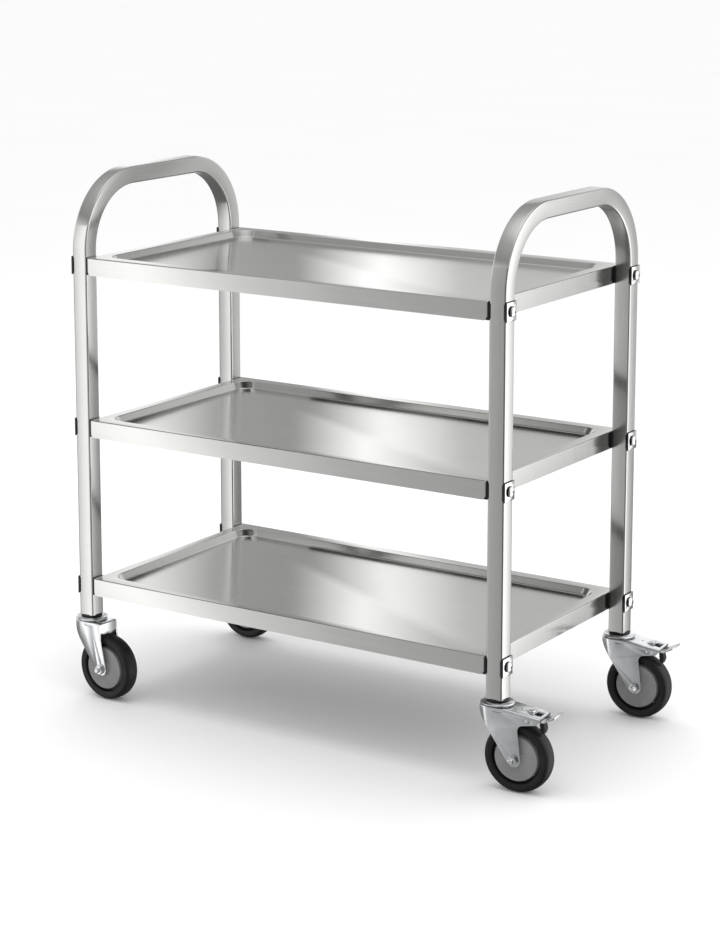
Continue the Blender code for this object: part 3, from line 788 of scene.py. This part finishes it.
def inner_pad(height):
    """Inner pad of a right leg, with the heel that fills the tray's rounded corner from inside."""
    end = PAD_FACE + GAP + SHEET + GAP
    half = LEG_FACE - SHEET - GAP
    outline = [(-end, half), (-end - HEEL_LENGTH, half), (-end - HEEL_LENGTH, -half), (-end, -half)]
    heel = soften(prism(outline, -SKIRT / 2 + GAP, -SKIRT / 2 + HEEL_HEIGHT), 0.0003, 1)
    return joined([lipped_pad(-1, height), heel])


def flat_pad(height):
    """Pad without lips, between a left leg and the tray's skirt."""
    return flat_plate(-LEG_FACE - GAP, -PAD_FACE, FLAT_PAD_HALF, height, PAD_HOLE, 0.0002)


def hexagon_nut(radius, low, high, hole):
    """Nut with its corners turned off at both ends and a plain bore."""
    nut = prism(arc((0.0, 0.0), radius, 0, 300, 5), low, high)
    edge = radius * 0.87
    drop = (radius - edge) * 0.55
    flank = radius + 0.0002
    profile = [(0.0, high), (edge, high), (flank, high - drop), (flank, low + drop), (edge, low), (0.0, low)]
    nut = combine(nut, [turned(profile, 36)], "INTERSECT")
    return combine(nut, [rod(hole, low - 0.01, high + 0.01, segments=24)])


# %% Twelve of each
def fit_all(name, mesh, slot, nodes, sides=("left", "right")):
    fixing = place_object("fixing", mesh)
    values = {"Fixing": fixing, "Material": FINISHES[slot]}
    made = run_tree(fixings_tree, fixing_points(sides), values)
    bpy.data.objects.remove(fixing, do_unlink=True)
    place_piece(name, made, FRAME_BODY, slot, nodes)
    print(name, len(made.polygons), "faces")


fixings_tree = copies_tree()
bolt_nodes = [f"{shelf}_bolt_{corner}" for shelf in SHELVES for corner in CORNERS]
saddle_nodes = [f"{shelf}_saddle_{corner}" for shelf in SHELVES for corner in CORNERS]
nut_face = -(PAD_FACE + GAP + SHEET + GAP)
nut = moved(hexagon_nut(NUT_CORNER, nut_face - NUT_THICKNESS, nut_face, NUT_HOLE), ALONG_X)
pad_height = SKIRT - 2 * GAP
fit_all("shelf_button_bolts", button_bolt(), "polished_fixing", bolt_nodes)
fit_all("shelf_square_plates", square_plate(), "polished_fixing", bolt_nodes)
# The black ring under each bolt head is painted shade: it stands in for the shade between the head and the
# plate.
fit_all("shelf_head_washers", painted_shade_ring(), "black_plastic", saddle_nodes)
fit_all("shelf_hexagon_nuts", nut, "zinc_plate", bolt_nodes)
fit_all("outer_saddle_pads", lipped_pad(1, OUTER_PAD_HEIGHT), "black_plastic", saddle_nodes)
fit_all("inner_saddle_pads_right", inner_pad(pad_height), "black_plastic", saddle_nodes, ("right",))
fit_all("inner_saddle_pads_left", flat_pad(pad_height), "black_plastic", saddle_nodes, ("left",))


# %% [markdown]
# ## Castor heads
#
# Under each leg a black plastic insert closes the tube, and the castor's stem screws into it. The stem, the
# sloping cap and the rivet head below stay still while the fork turns on a ring of balls. All of them are
# turned parts, so each is one profile swept round the swivel axis.

# %% Sizes of the castor, from the joints and the plain solids
tyre_low, tyre_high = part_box("back_left_tyre")
cap_low, cap_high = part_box("back_left_swivel_head")
insert_low, insert_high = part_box("back_left_leg_insert")
WHEEL_RADIUS = (tyre_high[2] - tyre_low[2]) / 2
FORK_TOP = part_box("back_left_fork")[1][2]
STEM_TOP = cap_high[2]
CAP_RADIUS = (cap_high[0] - cap_low[0]) / 2
FLANGE_LOW = insert_low[2]
INSERT_TOP = insert_high[2]
FLANGE_RADIUS = 0.0170
FORK_SHEET = 0.0022
STEM_HOLE = 0.0055


def castor_place(corner):
    """Swivel axis and rest direction: +X of the castor's own frame runs back to the wheel."""
    pos = JOINTS[corner + "_swivel"]["pos_m"]
    axle = JOINTS[corner + "_wheel_spin"]["axis"]
    turn = Matrix.Rotation(math.atan2(-axle[0], axle[1]), 4, "Z")
    return Matrix.Translation((pos[0], pos[1], 0.0)) @ turn


def swivel_head():
    """Stem, cap, race and rivet head as one turned profile, from the top down the outside."""
    cap_top = FLANGE_LOW - GAP
    stem = 0.005
    lip = 0.0022
    head_top = FORK_TOP - FORK_SHEET - GAP
    rim = arc((CAP_RADIUS - lip / 2, cap_top - 0.0030), lip / 2, 60, -90, 7)
    groove = [(0.0208, FORK_TOP + 0.0030), (0.0185, FORK_TOP + 0.0030), (0.0178, FORK_TOP + GAP)]
    profile = [
        (0.0, STEM_TOP), (stem - 0.0008, STEM_TOP), (stem, STEM_TOP - 0.0008), (stem, cap_top),
        (FLANGE_RADIUS, cap_top), (0.0215, cap_top - 0.0008), *rim, *groove,
        (stem, FORK_TOP + GAP), (stem, head_top), (0.0085, head_top), (0.0090, head_top - 0.0005),
        (0.0090, head_top - 0.0035), (0.0070, head_top - 0.0058), (0.0, head_top - 0.0060),
    ]
    return turned(profile, 72)


def leg_insert():
    """Square plug inside the tube and a round flange with a soft edge below it."""
    plug_half = TUBE / 2 - 0.0015
    flange_top = LEG_FOOT - GAP
    plug = prism(rounded_rectangle(plug_half, plug_half, 0.002, 4), FLANGE_LOW + 0.0005, INSERT_TOP)
    middle, rounding = (FLANGE_LOW + flange_top) / 2, (flange_top - FLANGE_LOW) / 2
    edge = arc((FLANGE_RADIUS - 0.0009, middle), rounding, 90, -90, 8)
    flange = turned([(0.0, flange_top), *edge, (0.0, FLANGE_LOW)], 56)
    return combine(combine(plug, [flange], "UNION"), [rod(STEM_HOLE, REACH, 2 * REACH, segments=24)])


# %% A ring of balls by Geometry Nodes
def ball_ring_tree():
    """Balls evenly spaced on a circle, as between the two races of a swivel."""
    tree, start, end = new_tree("ball_ring", (
        ("Balls", "NodeSocketInt", 20),
        ("Ring Radius", "NodeSocketFloat", 0.0225),
        ("Ball Radius", "NodeSocketFloat", 0.0012),
        ("Material", "NodeSocketMaterial", None),
    ))
    circle = add_node(tree, "GeometryNodeMeshCircle", fill_type="NONE")
    ball = add_node(tree, "GeometryNodeMeshIcoSphere", Subdivisions=2)
    copies = tree.nodes.new("GeometryNodeInstanceOnPoints")
    realize = tree.nodes.new("GeometryNodeRealizeInstances")
    finish = tree.nodes.new("GeometryNodeSetMaterial")
    feed(
        tree, start, ("Balls", circle, "Vertices"), ("Ring Radius", circle, "Radius"),
        ("Ball Radius", ball, "Radius"), ("Material", finish, "Material"),
    )
    tree.links.new(ball.outputs["Mesh"], copies.inputs["Instance"])
    shape = chain(tree, circle.outputs[0], (copies, "Points"), (realize, "Geometry"), (finish, "Geometry"))
    tree.links.new(shape, end.inputs[0])
    return tree


# %% [markdown]
# ## Forks
#
# The fork is pressed from 2.2 mm plate: a crown with a half-round nose, and two cheeks that narrow to round
# bosses at the axle. Seen from the side and from above it has two different outlines, so the solid is the
# part that two prisms share. The top edge is rounded like a pressing, then a smaller copy of the same two
# prisms hollows it out. On the braked castors the crown runs on to the rear as a housing for the pedal.

# %% Outlines of the fork
FORK_HALF_WIDTH = 0.0205
NOSE_CENTRE = -0.0065
NOSE_DROP = 0.0035
TRAIL = 0.035
BOSS_RADIUS = 0.0105
HOUSING_START = 0.022
HOUSING_END = 0.075
HOUSING_REAR_TOP = 0.119
HOUSING_REAR_BOTTOM = 0.109
ARCH_CENTRE = (0.0495, 0.0965)
ARCH_RADIUS = 0.009
WINDOW = (0.0600, 0.0712)
WINDOW_HALF_WIDTH = 0.010
BRIDGE_END = 0.034
BRIDGE_BOTTOM = 0.1105
AXLE = (TRAIL, WHEEL_RADIUS)


def tangent_angle(point, centre, radius, side):
    """The angle in degrees, round the circle, of the point where a line from outside touches it."""
    dx, dz = point[0] - centre[0], point[1] - centre[1]
    return math.degrees(math.atan2(dz, dx) + side * math.acos(radius / math.hypot(dx, dz)))


def fork_outline(braked):
    nose = NOSE_CENTRE - FORK_HALF_WIDTH
    front = (nose, FORK_TOP - NOSE_DROP)
    if braked:
        rear = [
            (HOUSING_START, FORK_TOP), (HOUSING_END, HOUSING_REAR_TOP), (0.0735, HOUSING_REAR_TOP - 0.0045),
            *arc((0.0672, HOUSING_REAR_BOTTOM + 0.0035), 0.0035, -10, -83, 5),
            *arc(ARCH_CENTRE, ARCH_RADIUS, 96, 185, 12),
        ]
    else:
        rear = [(BRIDGE_END, FORK_TOP), (BRIDGE_END, BRIDGE_BOTTOM)]
    start = tangent_angle(rear[-1], AXLE, BOSS_RADIUS, -1)
    end = tangent_angle(front, AXLE, BOSS_RADIUS, 1) - 360
    return [(nose, FORK_TOP), *rear, *arc(AXLE, BOSS_RADIUS, start, end, 28), front]


def fork_plan(half_width, rear):
    return [(rear, half_width), *arc((NOSE_CENTRE, 0.0), half_width, 90, 270, 40), (rear, -half_width)]


def fork_hollow(braked):
    under = FORK_TOP - FORK_SHEET
    front, rear, bottom = -0.05, 0.11, -0.01
    if braked:
        slope = (HOUSING_REAR_TOP - FORK_TOP) / (HOUSING_END - HOUSING_START)
        roof = [(HOUSING_START, under), (rear, under + slope * (rear - HOUSING_START))]
    else:
        wall = BRIDGE_END - FORK_SHEET
        roof = [(wall, under), (wall, BRIDGE_BOTTOM - GAP), (rear, BRIDGE_BOTTOM - GAP)]
    side = side_prism([(front, bottom), (front, under), *roof, (rear, bottom)], FORK_HALF_WIDTH * 2)
    plan = fork_plan(FORK_HALF_WIDTH - FORK_SHEET, rear)
    return combine(side, [prism(plan, bottom, FORK_TOP)], "INTERSECT")


# %% Press one fork of each kind
CROWN_RADIUS = 0.0026
CHEEK_REACH = 0.04
CROWN_HOLE = 0.0056
AXLE_HOLE = 0.0043
PIN_HOLE = 0.0023


def round_crown(mesh):
    """Rounds the edge between the fork's top and its sides, as the press leaves it."""
    shape = bmesh.new()
    shape.from_mesh(mesh)
    bmesh.ops.dissolve_limit(shape, angle_limit=math.radians(1.0), verts=shape.verts, edges=shape.edges)
    edges = [
        edge for edge in shape.edges
        if len(edge.link_faces) == 2
        and max(face.normal.z for face in edge.link_faces) > 0.9
        and abs(min(face.normal.z for face in edge.link_faces)) < 0.3
    ]
    bmesh.ops.bevel(
        shape, geom=edges, offset=CROWN_RADIUS, segments=5, profile=0.5, affect="EDGES", clamp_overlap=True
    )
    return tidy_mesh(shape, "crown")


def slot(x_low, x_high, z_low, z_high):
    outline = [(x_low, z_low), (x_high, z_low), (x_high, z_high), (x_low, z_high)]
    return side_prism(outline, CHEEK_REACH)


def fork(braked):
    body = combine(
        side_prism(fork_outline(braked), FORK_HALF_WIDTH * 2),
        [prism(fork_plan(FORK_HALF_WIDTH, HOUSING_END + TRAIL), 0.0, LEG_FOOT)],
        "INTERSECT",
    )
    cutters = [
        fork_hollow(braked),
        rod(CROWN_HOLE, REACH, 2 * REACH),
        rod(AXLE_HOLE, -CHEEK_REACH, CHEEK_REACH, ALONG_Y, (TRAIL, 0.0, WHEEL_RADIUS)),
        slot(0.002, 0.016, FORK_TOP - 0.0066, FORK_TOP - 0.0046),
    ]
    if braked:
        pivot = brake_pivot("front_right")
        cutters.append(rod(PIN_HOLE, -CHEEK_REACH, CHEEK_REACH, ALONG_Y, pivot))
        half = WINDOW_HALF_WIDTH
        window = [(WINDOW[0], -half * 0.8), (WINDOW[1], -half), (WINDOW[1], half), (WINDOW[0], half * 0.8)]
        cutters.append(prism(window, HOUSING_REAR_BOTTOM + FORK_SHEET, FORK_TOP + FORK_SHEET))
    pressed_fork = combine(round_crown(body), cutters)
    return soften(pressed_fork, 0.00045, 2, 40.0)


def brake_pivot(corner):
    """The pedal's pivot in the castor's own frame."""
    return castor_place(corner).inverted() @ Vector(JOINTS[corner + "_brake_press"]["pos_m"])


# %% [markdown]
# ## Wheels
#
# The hub is a grey moulding with a flat face, and the tyre is a solid ring of rubber with a rounded tread.
# Between them the tyre has a deep groove that reads as a black ring. Both are turned on the axle from half
# a profile that is mirrored about the wheel's middle plane.

# %% Turn the hub and the tyre
def both_sides(half):
    """A ring's whole profile from the half above the middle plane."""
    return half + [(radius, -height) for radius, height in reversed(half) if height > 1e-6]


HUB_RADIUS = 0.0347
HUB_FACE = 0.0127
HUB_HALF_WIDTH = 0.0150
TYRE_BORE = 0.0350
TYRE_HALF_WIDTH = 0.0135


def wheel_hub():
    edge = arc((HUB_RADIUS - 0.0019, HUB_FACE - 0.0008), 0.0008, 90, 0, 4)
    half = [
        (0.0044, HUB_HALF_WIDTH), (0.0098, HUB_HALF_WIDTH), (0.0104, 0.0145), (0.0108, 0.0130),
        (0.0118, HUB_FACE), *edge, (HUB_RADIUS - 0.0004, 0.0052), (HUB_RADIUS, 0.0046),
    ]
    return turned(both_sides(half), 96, ALONG_Y)


def wheel_tyre():
    """The tread is a flattened arc from each side's edge to the middle."""
    shoulder = [
        (WHEEL_RADIUS - 0.0064 * (1 - math.cos(a)) ** 1.15, TYRE_HALF_WIDTH * math.sin(a) ** 0.9)
        for a in (math.radians(angle) for angle in range(82, 0, -6))
    ]
    half = [
        (TYRE_BORE, 0.0046), (TYRE_BORE + 0.0028, 0.0048), (TYRE_BORE + 0.0032, 0.0060),
        (TYRE_BORE + 0.0035, 0.0118), (TYRE_BORE + 0.0040, 0.0126), (TYRE_BORE + 0.0049, 0.0130), *shoulder,
        (WHEEL_RADIUS, 0.0),
    ]
    return turned(both_sides(half), 128, ALONG_Y)


# %% [markdown]
# ## Axles and brakes
#
# The axle is an 8 mm bolt: hexagon head behind, nut in front, with a few turns of thread standing out. The
# thread is drawn as ridges on the turned profile, which at this size can't be told from a helix. The pedal
# is a pressed lever with a wide pad, and the black shoe sits under its arm, close above the tyre.

# %% Axle, pedal, shoe and pin
AXLE_END = 0.0315
AXLE_RADIUS = 0.004
NUT_RADIUS = 0.0075
NUT_HEIGHT = 0.006
THREAD_PITCH = 0.00125
PEDAL_HALF_WIDTH = 0.016
PEDAL_SHEET = 0.002
PEDAL_TIP = (0.0955, 0.1235)
PEDAL_EYE = 0.004
SHOE_CLEARANCE = 0.0045


def axle_bolt():
    cheek = FORK_HALF_WIDTH + GAP
    height = AXLE_END - 0.0009
    profile = [(0.0, AXLE_END), (AXLE_RADIUS - 0.0010, AXLE_END), (AXLE_RADIUS - 0.0001, height)]
    while height > cheek + NUT_HEIGHT:
        profile += [(AXLE_RADIUS - 0.0006, height - THREAD_PITCH * 0.5), (AXLE_RADIUS, height - THREAD_PITCH)]
        height -= THREAD_PITCH
    profile += [(AXLE_RADIUS, -cheek - NUT_HEIGHT + 0.001), (0.0, -cheek - NUT_HEIGHT + 0.001)]
    head = hexagon_nut(NUT_RADIUS, -cheek - NUT_HEIGHT, -cheek, 0.0001)
    return combine(turned(profile, 36), [head], "UNION")


def axle_pieces():
    cheek = FORK_HALF_WIDTH + GAP
    bore, rim, face = AXLE_RADIUS + GAP, 0.0084, cheek + 0.0012
    washer = turned([(bore, face), (rim, face), (rim, cheek), (bore, cheek)], 40)
    nut = hexagon_nut(NUT_RADIUS, cheek + 0.0013, cheek + NUT_HEIGHT, AXLE_RADIUS + GAP / 3)
    whole = joined([axle_bolt(), washer, nut])
    whole.transform(ALONG_Y)
    return whole


def brake_pedal(pivot):
    """The lever's side profile, cut to a plan with a rounded pad."""
    tip, bend = PEDAL_TIP, (0.0785, pivot.z)
    rise = math.atan2(tip[1] - bend[1] - PEDAL_SHEET, tip[0] - bend[0])
    edge = Vector((math.sin(rise), -math.cos(rise))) * PEDAL_SHEET
    outline = [
        (bend[0] - 0.0016, bend[1] + PEDAL_SHEET), (bend[0] + 0.0006, bend[1] + PEDAL_SHEET * 1.25), tip,
        (tip[0] + edge.x, tip[1] + edge.y), (bend[0] + 0.0012, bend[1] + 0.0003), (bend[0] - 0.0008, bend[1]),
        (pivot.x + PEDAL_EYE, pivot.z), *arc((pivot.x, pivot.z), PEDAL_EYE, -20, -300, 18),
    ]
    plan = [
        (pivot.x - 0.01, 0.0155), (0.0765, 0.0155), *arc((0.0805, 0.0120), 0.0040, 120, 90, 3),
        *arc((0.0915, 0.0120), 0.0045, 90, 0, 6), *arc((0.0915, -0.0120), 0.0045, 0, -90, 6),
        *arc((0.0805, -0.0120), 0.0040, -90, -120, 3), (0.0765, -0.0155), (pivot.x - 0.01, -0.0155),
    ]
    lever = combine(side_prism(outline, PEDAL_HALF_WIDTH), [prism(plan, 0.09, 0.14)], "INTERSECT")
    lever = combine(lever, [rod(PIN_HOLE, -CHEEK_REACH, CHEEK_REACH, ALONG_Y, pivot)])
    return soften(lever, 0.0004, 2, 40.0)


def brake_shoe(pivot):
    top = pivot.z - GAP
    contact = arc(AXLE, WHEEL_RADIUS + SHOE_CLEARANCE, 45.5, 52, 8)
    shoe = side_prism([(0.0745, top), (0.0685, top), *reversed(contact), (0.0772, 0.0995)], 0.006)
    return soften(shoe, 0.0006, 3, 40.0)


def pivot_pin(pivot):
    cheek = FORK_HALF_WIDTH + GAP
    section = ((0.0, 0.0012), (0.0020, 0.0012), (0.0031, 0.0007), (0.0034, 0.0), (0.0020, 0.0))
    head = [(radius, cheek + height) for radius, height in section]
    pin = turned(head + [(radius, -height) for radius, height in reversed(head)], 28, ALONG_Y)
    pin.transform(Matrix.Translation(pivot))
    return pin


def housing_pressings():
    """The small raised tongue and the dimple on top of the brake housing."""
    slope = math.atan2(HOUSING_REAR_TOP - FORK_TOP, HOUSING_END - HOUSING_START)

    def top_at(x):
        return FORK_TOP + math.tan(slope) * (x - HOUSING_START)

    rises = ((0.0470, -0.0004), (0.0590, 0.0040), (0.0598, 0.0024), (0.0580, -0.0004))
    tongue = side_prism([(x, top_at(x) + rise) for x, rise in rises], 0.0065)
    section = [(0.0, 0.0013), (0.0012, 0.0011), (0.0021, 0.0006), (0.0026, -0.0004), (0.0, -0.0004)]
    dimple = turned(section, 28)
    dimple.transform(Matrix.Translation((0.040, 0.0, top_at(0.040))))
    return joined([soften(tongue, 0.0004, 2), dimple])


# %% Assemble the four castors
fork_meshes = {braked: fork(braked) for braked in (False, True)}
head_mesh, insert_mesh = swivel_head(), leg_insert()
hub_mesh, tyre_mesh, axle_mesh = wheel_hub(), wheel_tyre(), axle_pieces()
wheel_centre = Matrix.Translation((TRAIL, 0.0, WHEEL_RADIUS))
balls_tree = ball_ring_tree()
ball_mesh = run_tree(balls_tree, bpy.data.meshes.new("start"), {
    "Balls": 26, "Ring Radius": 0.0214, "Ball Radius": 0.0011, "Material": FINISHES["polished_fixing"],
})
ball_mesh.transform(Matrix.Translation((0.0, 0.0, FORK_TOP + 0.0014)))
for corner in CORNERS:
    place = castor_place(corner)
    at_axle = place @ wheel_centre
    castor, wheel, brake = (corner + part for part in ("_castor", "_wheel", "_brake"))
    braked = brake in frame["bodies"]
    pieces = [
        ("insert_moulding", insert_mesh, place, FRAME_BODY, "black_plastic", "leg_insert"),
        ("cap_and_stem", head_mesh, place, FRAME_BODY, "zinc_plate", "swivel_head"),
        ("ball_ring", ball_mesh, place, FRAME_BODY, "polished_fixing", None),
        ("pressed_fork", fork_meshes[braked], place, castor, "zinc_plate", "fork"),
        ("axle_and_nut", axle_mesh, at_axle, castor, "zinc_plate", "axle"),
        ("wheel_hub", hub_mesh, at_axle, wheel, "grey_plastic", "hub"),
        ("wheel_tyre", tyre_mesh, at_axle, wheel, "tyre_rubber", "tyre"),
    ]
    if braked:
        pivot = brake_pivot(corner)
        pieces += [
            ("housing_pressings", housing_pressings(), place, castor, "zinc_plate", None),
            ("pin", pivot_pin(pivot), place, castor, "zinc_plate", "pivot_pin"),
            ("pedal", brake_pedal(pivot), place, brake, "zinc_plate", "brake_pedal"),
            ("shoe", brake_shoe(pivot), place, brake, "black_rubber", "brake_shoe"),
        ]
    for name, mesh, where, body, finish, node in pieces:
        replaced = [f"{corner}_{node}"] if node else []
        place_piece(f"{corner}_{name}", moved(mesh, where), body, finish, replaced)
    print(corner, "castor made of", len(pieces), "pieces")


# %% [markdown]
# ## Camera
#
# A long lens from the front right, a little above the trays. The sensor is shifted down a little, as a
# product photographer does, which keeps the legs nearly upright in the picture.

# %% The camera
LENS_MM, SENSOR_MM = 94.733, 36.0
SHIFT = -0.15086
AZIMUTH, ELEVATION, DISTANCE = math.radians(33.17), math.radians(10.37), 3.774
LOOK_AT = Vector((MIDDLE.x + 0.014, MIDDLE.y, 0.6145))

camera_data = bpy.data.cameras.new("camera")
camera_data.sensor_width = SENSOR_MM
camera_data.lens = LENS_MM
camera_data.shift_y = SHIFT
camera_data.clip_start = 0.05
camera_data.clip_end = 60.0
camera = place_object("camera", camera_data)
back = Vector((
    math.sin(AZIMUTH) * math.cos(ELEVATION), -math.cos(AZIMUTH) * math.cos(ELEVATION), math.sin(ELEVATION)
))
camera.location = LOOK_AT + back * DISTANCE
camera.rotation_euler = (-back).to_track_quat("-Z", "Y").to_euler()
bpy.context.scene.camera = camera
print("lens", round(camera_data.lens, 1), "mm, camera at", [round(v, 3) for v in camera.location])


# %% [markdown]
# ## Studio
#
# Steel shows what surrounds it, so the studio is half of the finish. An even white surround and one wide
# soft light overhead light the pale floor and leave a soft shadow under the trolley. Around it stand large
# soft cards that only reflections see: each fades from bright to grey, and that fade is what makes the
# skirts and legs look brushed instead of flat white.

# %% Floor and cards
def studio_floor():
    """A wide pale floor that meets the white surround far away."""
    shape = bmesh.new()
    bmesh.ops.create_circle(shape, cap_ends=True, segments=96, radius=60.0)
    mesh = plain_mesh(shape, "studio_floor")
    material, tree, shader = new_material("studio_paper", (0.90,) * 3, 0.85)
    place = add_node(tree, "ShaderNodeTexCoord").outputs["Object"]
    soft = ranged(tree, noise(tree, place, 1.5, 2.0), 0.0, 1.0)
    tree.links.new(tinted(tree, soft, (0.895,) * 3, (0.905,) * 3), shader.inputs["Base Color"])
    mesh.materials.append(material)
    floor = place_object("studio_floor", mesh)
    floor.visible_glossy = False

def grey_ramp(tree, value, stops, scale):
    """A grey along a value, from stops of (position, brightness)."""
    ramp = add_node(tree, "ShaderNodeValToRGB")
    elements = ramp.color_ramp.elements
    while len(elements) < len(stops):
        elements.new(0.5)
    for element, (position, brightness) in zip(elements, stops):
        grey = brightness / scale
        element.position = position
        element.color = (grey, grey, grey, 1.0)
    tree.links.new(value, ramp.inputs["Fac"])
    return ramp.outputs["Color"]


def card(name, centre, facing, size, stops):
    """An upright glowing card seen only in reflections; the stops run along its own X."""
    half_width, half_height = size[0] / 2, size[1] / 2
    mesh = bpy.data.meshes.new(name)
    signs = ((-1, -1), (1, -1), (1, 1), (-1, 1))
    mesh.from_pydata([(x * half_width, y * half_height, 0.0) for x, y in signs], [], [(0, 1, 2, 3)])
    material = bpy.data.materials.new(name)
    material.use_nodes = True
    tree = material.node_tree
    tree.nodes.clear()
    place = add_node(tree, "ShaderNodeTexCoord").outputs["Object"]
    split = add_node(tree, "ShaderNodeSeparateXYZ")
    tree.links.new(place, split.inputs[0])
    along = ranged(tree, split.outputs["X"], 0.0, 1.0, -half_width, half_width)
    brightest = max(value for _, value in stops)
    glow = add_node(tree, "ShaderNodeEmission", Strength=brightest)
    output = add_node(tree, "ShaderNodeOutputMaterial")
    tree.links.new(grey_ramp(tree, along, stops, brightest), glow.inputs["Color"])
    tree.links.new(glow.outputs[0], output.inputs["Surface"])
    mesh.materials.append(material)
    panel = place_object(name, mesh)
    panel.location = Vector(centre)
    panel.rotation_euler = Vector(facing).to_track_quat("Z", "Y").to_euler()
    panel.visible_camera = False
    panel.visible_diffuse = False
    panel.visible_shadow = False
    panel.visible_transmission = False


# %% Set up the studio
studio_floor()
card("front_card", (-0.5, -1.10, 0.20), (0, 1, 0), (2.8, 2.1), [
    (0.0, 0.30), (0.38, 0.58), (0.50, 0.75), (0.60, 1.15), (0.68, 1.95), (0.82, 1.0), (1.0, 0.4),
])
card("right_card", (1.05, 1.1, 0.20), (-1, 0, 0), (2.6, 2.1), [
    (0.0, 0.2), (0.30, 0.6), (0.42, 1.1), (0.52, 1.6), (0.62, 2.1), (0.78, 2.2), (1.0, 1.0),
])
card("back_card", (-0.7, 1.9, 0.9), (0, -1, 0), (4.2, 1.8), [
    (0.0, 0.6), (0.205, 1.35), (0.265, 0.5), (0.325, 0.45), (0.375, 1.6), (0.43, 0.75), (0.50, 0.75),
    (0.60, 1.3), (1.0, 0.6),
])
card("camera_side_card", (1.7, -1.7, 0.3), (-1, 1, 0), (2.2, 2.6), [(0.0, 0.06), (0.6, 0.06), (1.0, 0.5)])
lamp = bpy.data.lights.new("top_light", "AREA")
lamp.shape = "SQUARE"
lamp.size = 2.4
lamp.energy = 34.0
top_light = place_object("top_light", lamp)
top_light.location = (MIDDLE.x, MIDDLE.y, 3.0)
top_light.visible_glossy = False
top_light.visible_camera = False
print("four cards, and a light of", lamp.size, "m at a height of", top_light.location.z, "m")


# %% The surround
WHITE = 1.08
SURROUND = (
    (0.0, 0.16), (0.36, 0.28), (0.48, 0.75), (0.54, 1.25), (0.66, 1.1), (0.76, 0.40), (0.90, 0.6), (1.0, 1.6),
)
COLOUR_A, COLOUR_B, COLOUR_RESULT = 6, 7, 2


def studio_surround():
    """Even white for the camera and the floor; reflections see a bright horizon under a darker ceiling."""
    world = bpy.data.worlds.new("studio")
    bpy.context.scene.world = world
    world.use_nodes = True
    tree = world.node_tree
    background = tree.nodes["Background"]
    background.inputs["Strength"].default_value = 1.0
    direction = add_node(tree, "ShaderNodeTexCoord").outputs["Generated"]
    split = add_node(tree, "ShaderNodeSeparateXYZ")
    tree.links.new(direction, split.inputs[0])
    height = ranged(tree, split.outputs["Z"], 0.0, 1.0, -1.0, 1.0)
    path = add_node(tree, "ShaderNodeLightPath")
    mixed = add_node(tree, "ShaderNodeMix", data_type="RGBA")
    mixed.inputs[COLOUR_A].default_value = (WHITE, WHITE, WHITE, 1.0)
    tree.links.new(path.outputs["Is Glossy Ray"], mixed.inputs["Factor"])
    tree.links.new(grey_ramp(tree, height, SURROUND, 1.0), mixed.inputs[COLOUR_B])
    tree.links.new(mixed.outputs[COLOUR_RESULT], background.inputs["Color"])


studio_surround()
bpy.context.scene.view_settings.view_transform = "Standard"
print("surround of", len(SURROUND), "greys, white", WHITE)
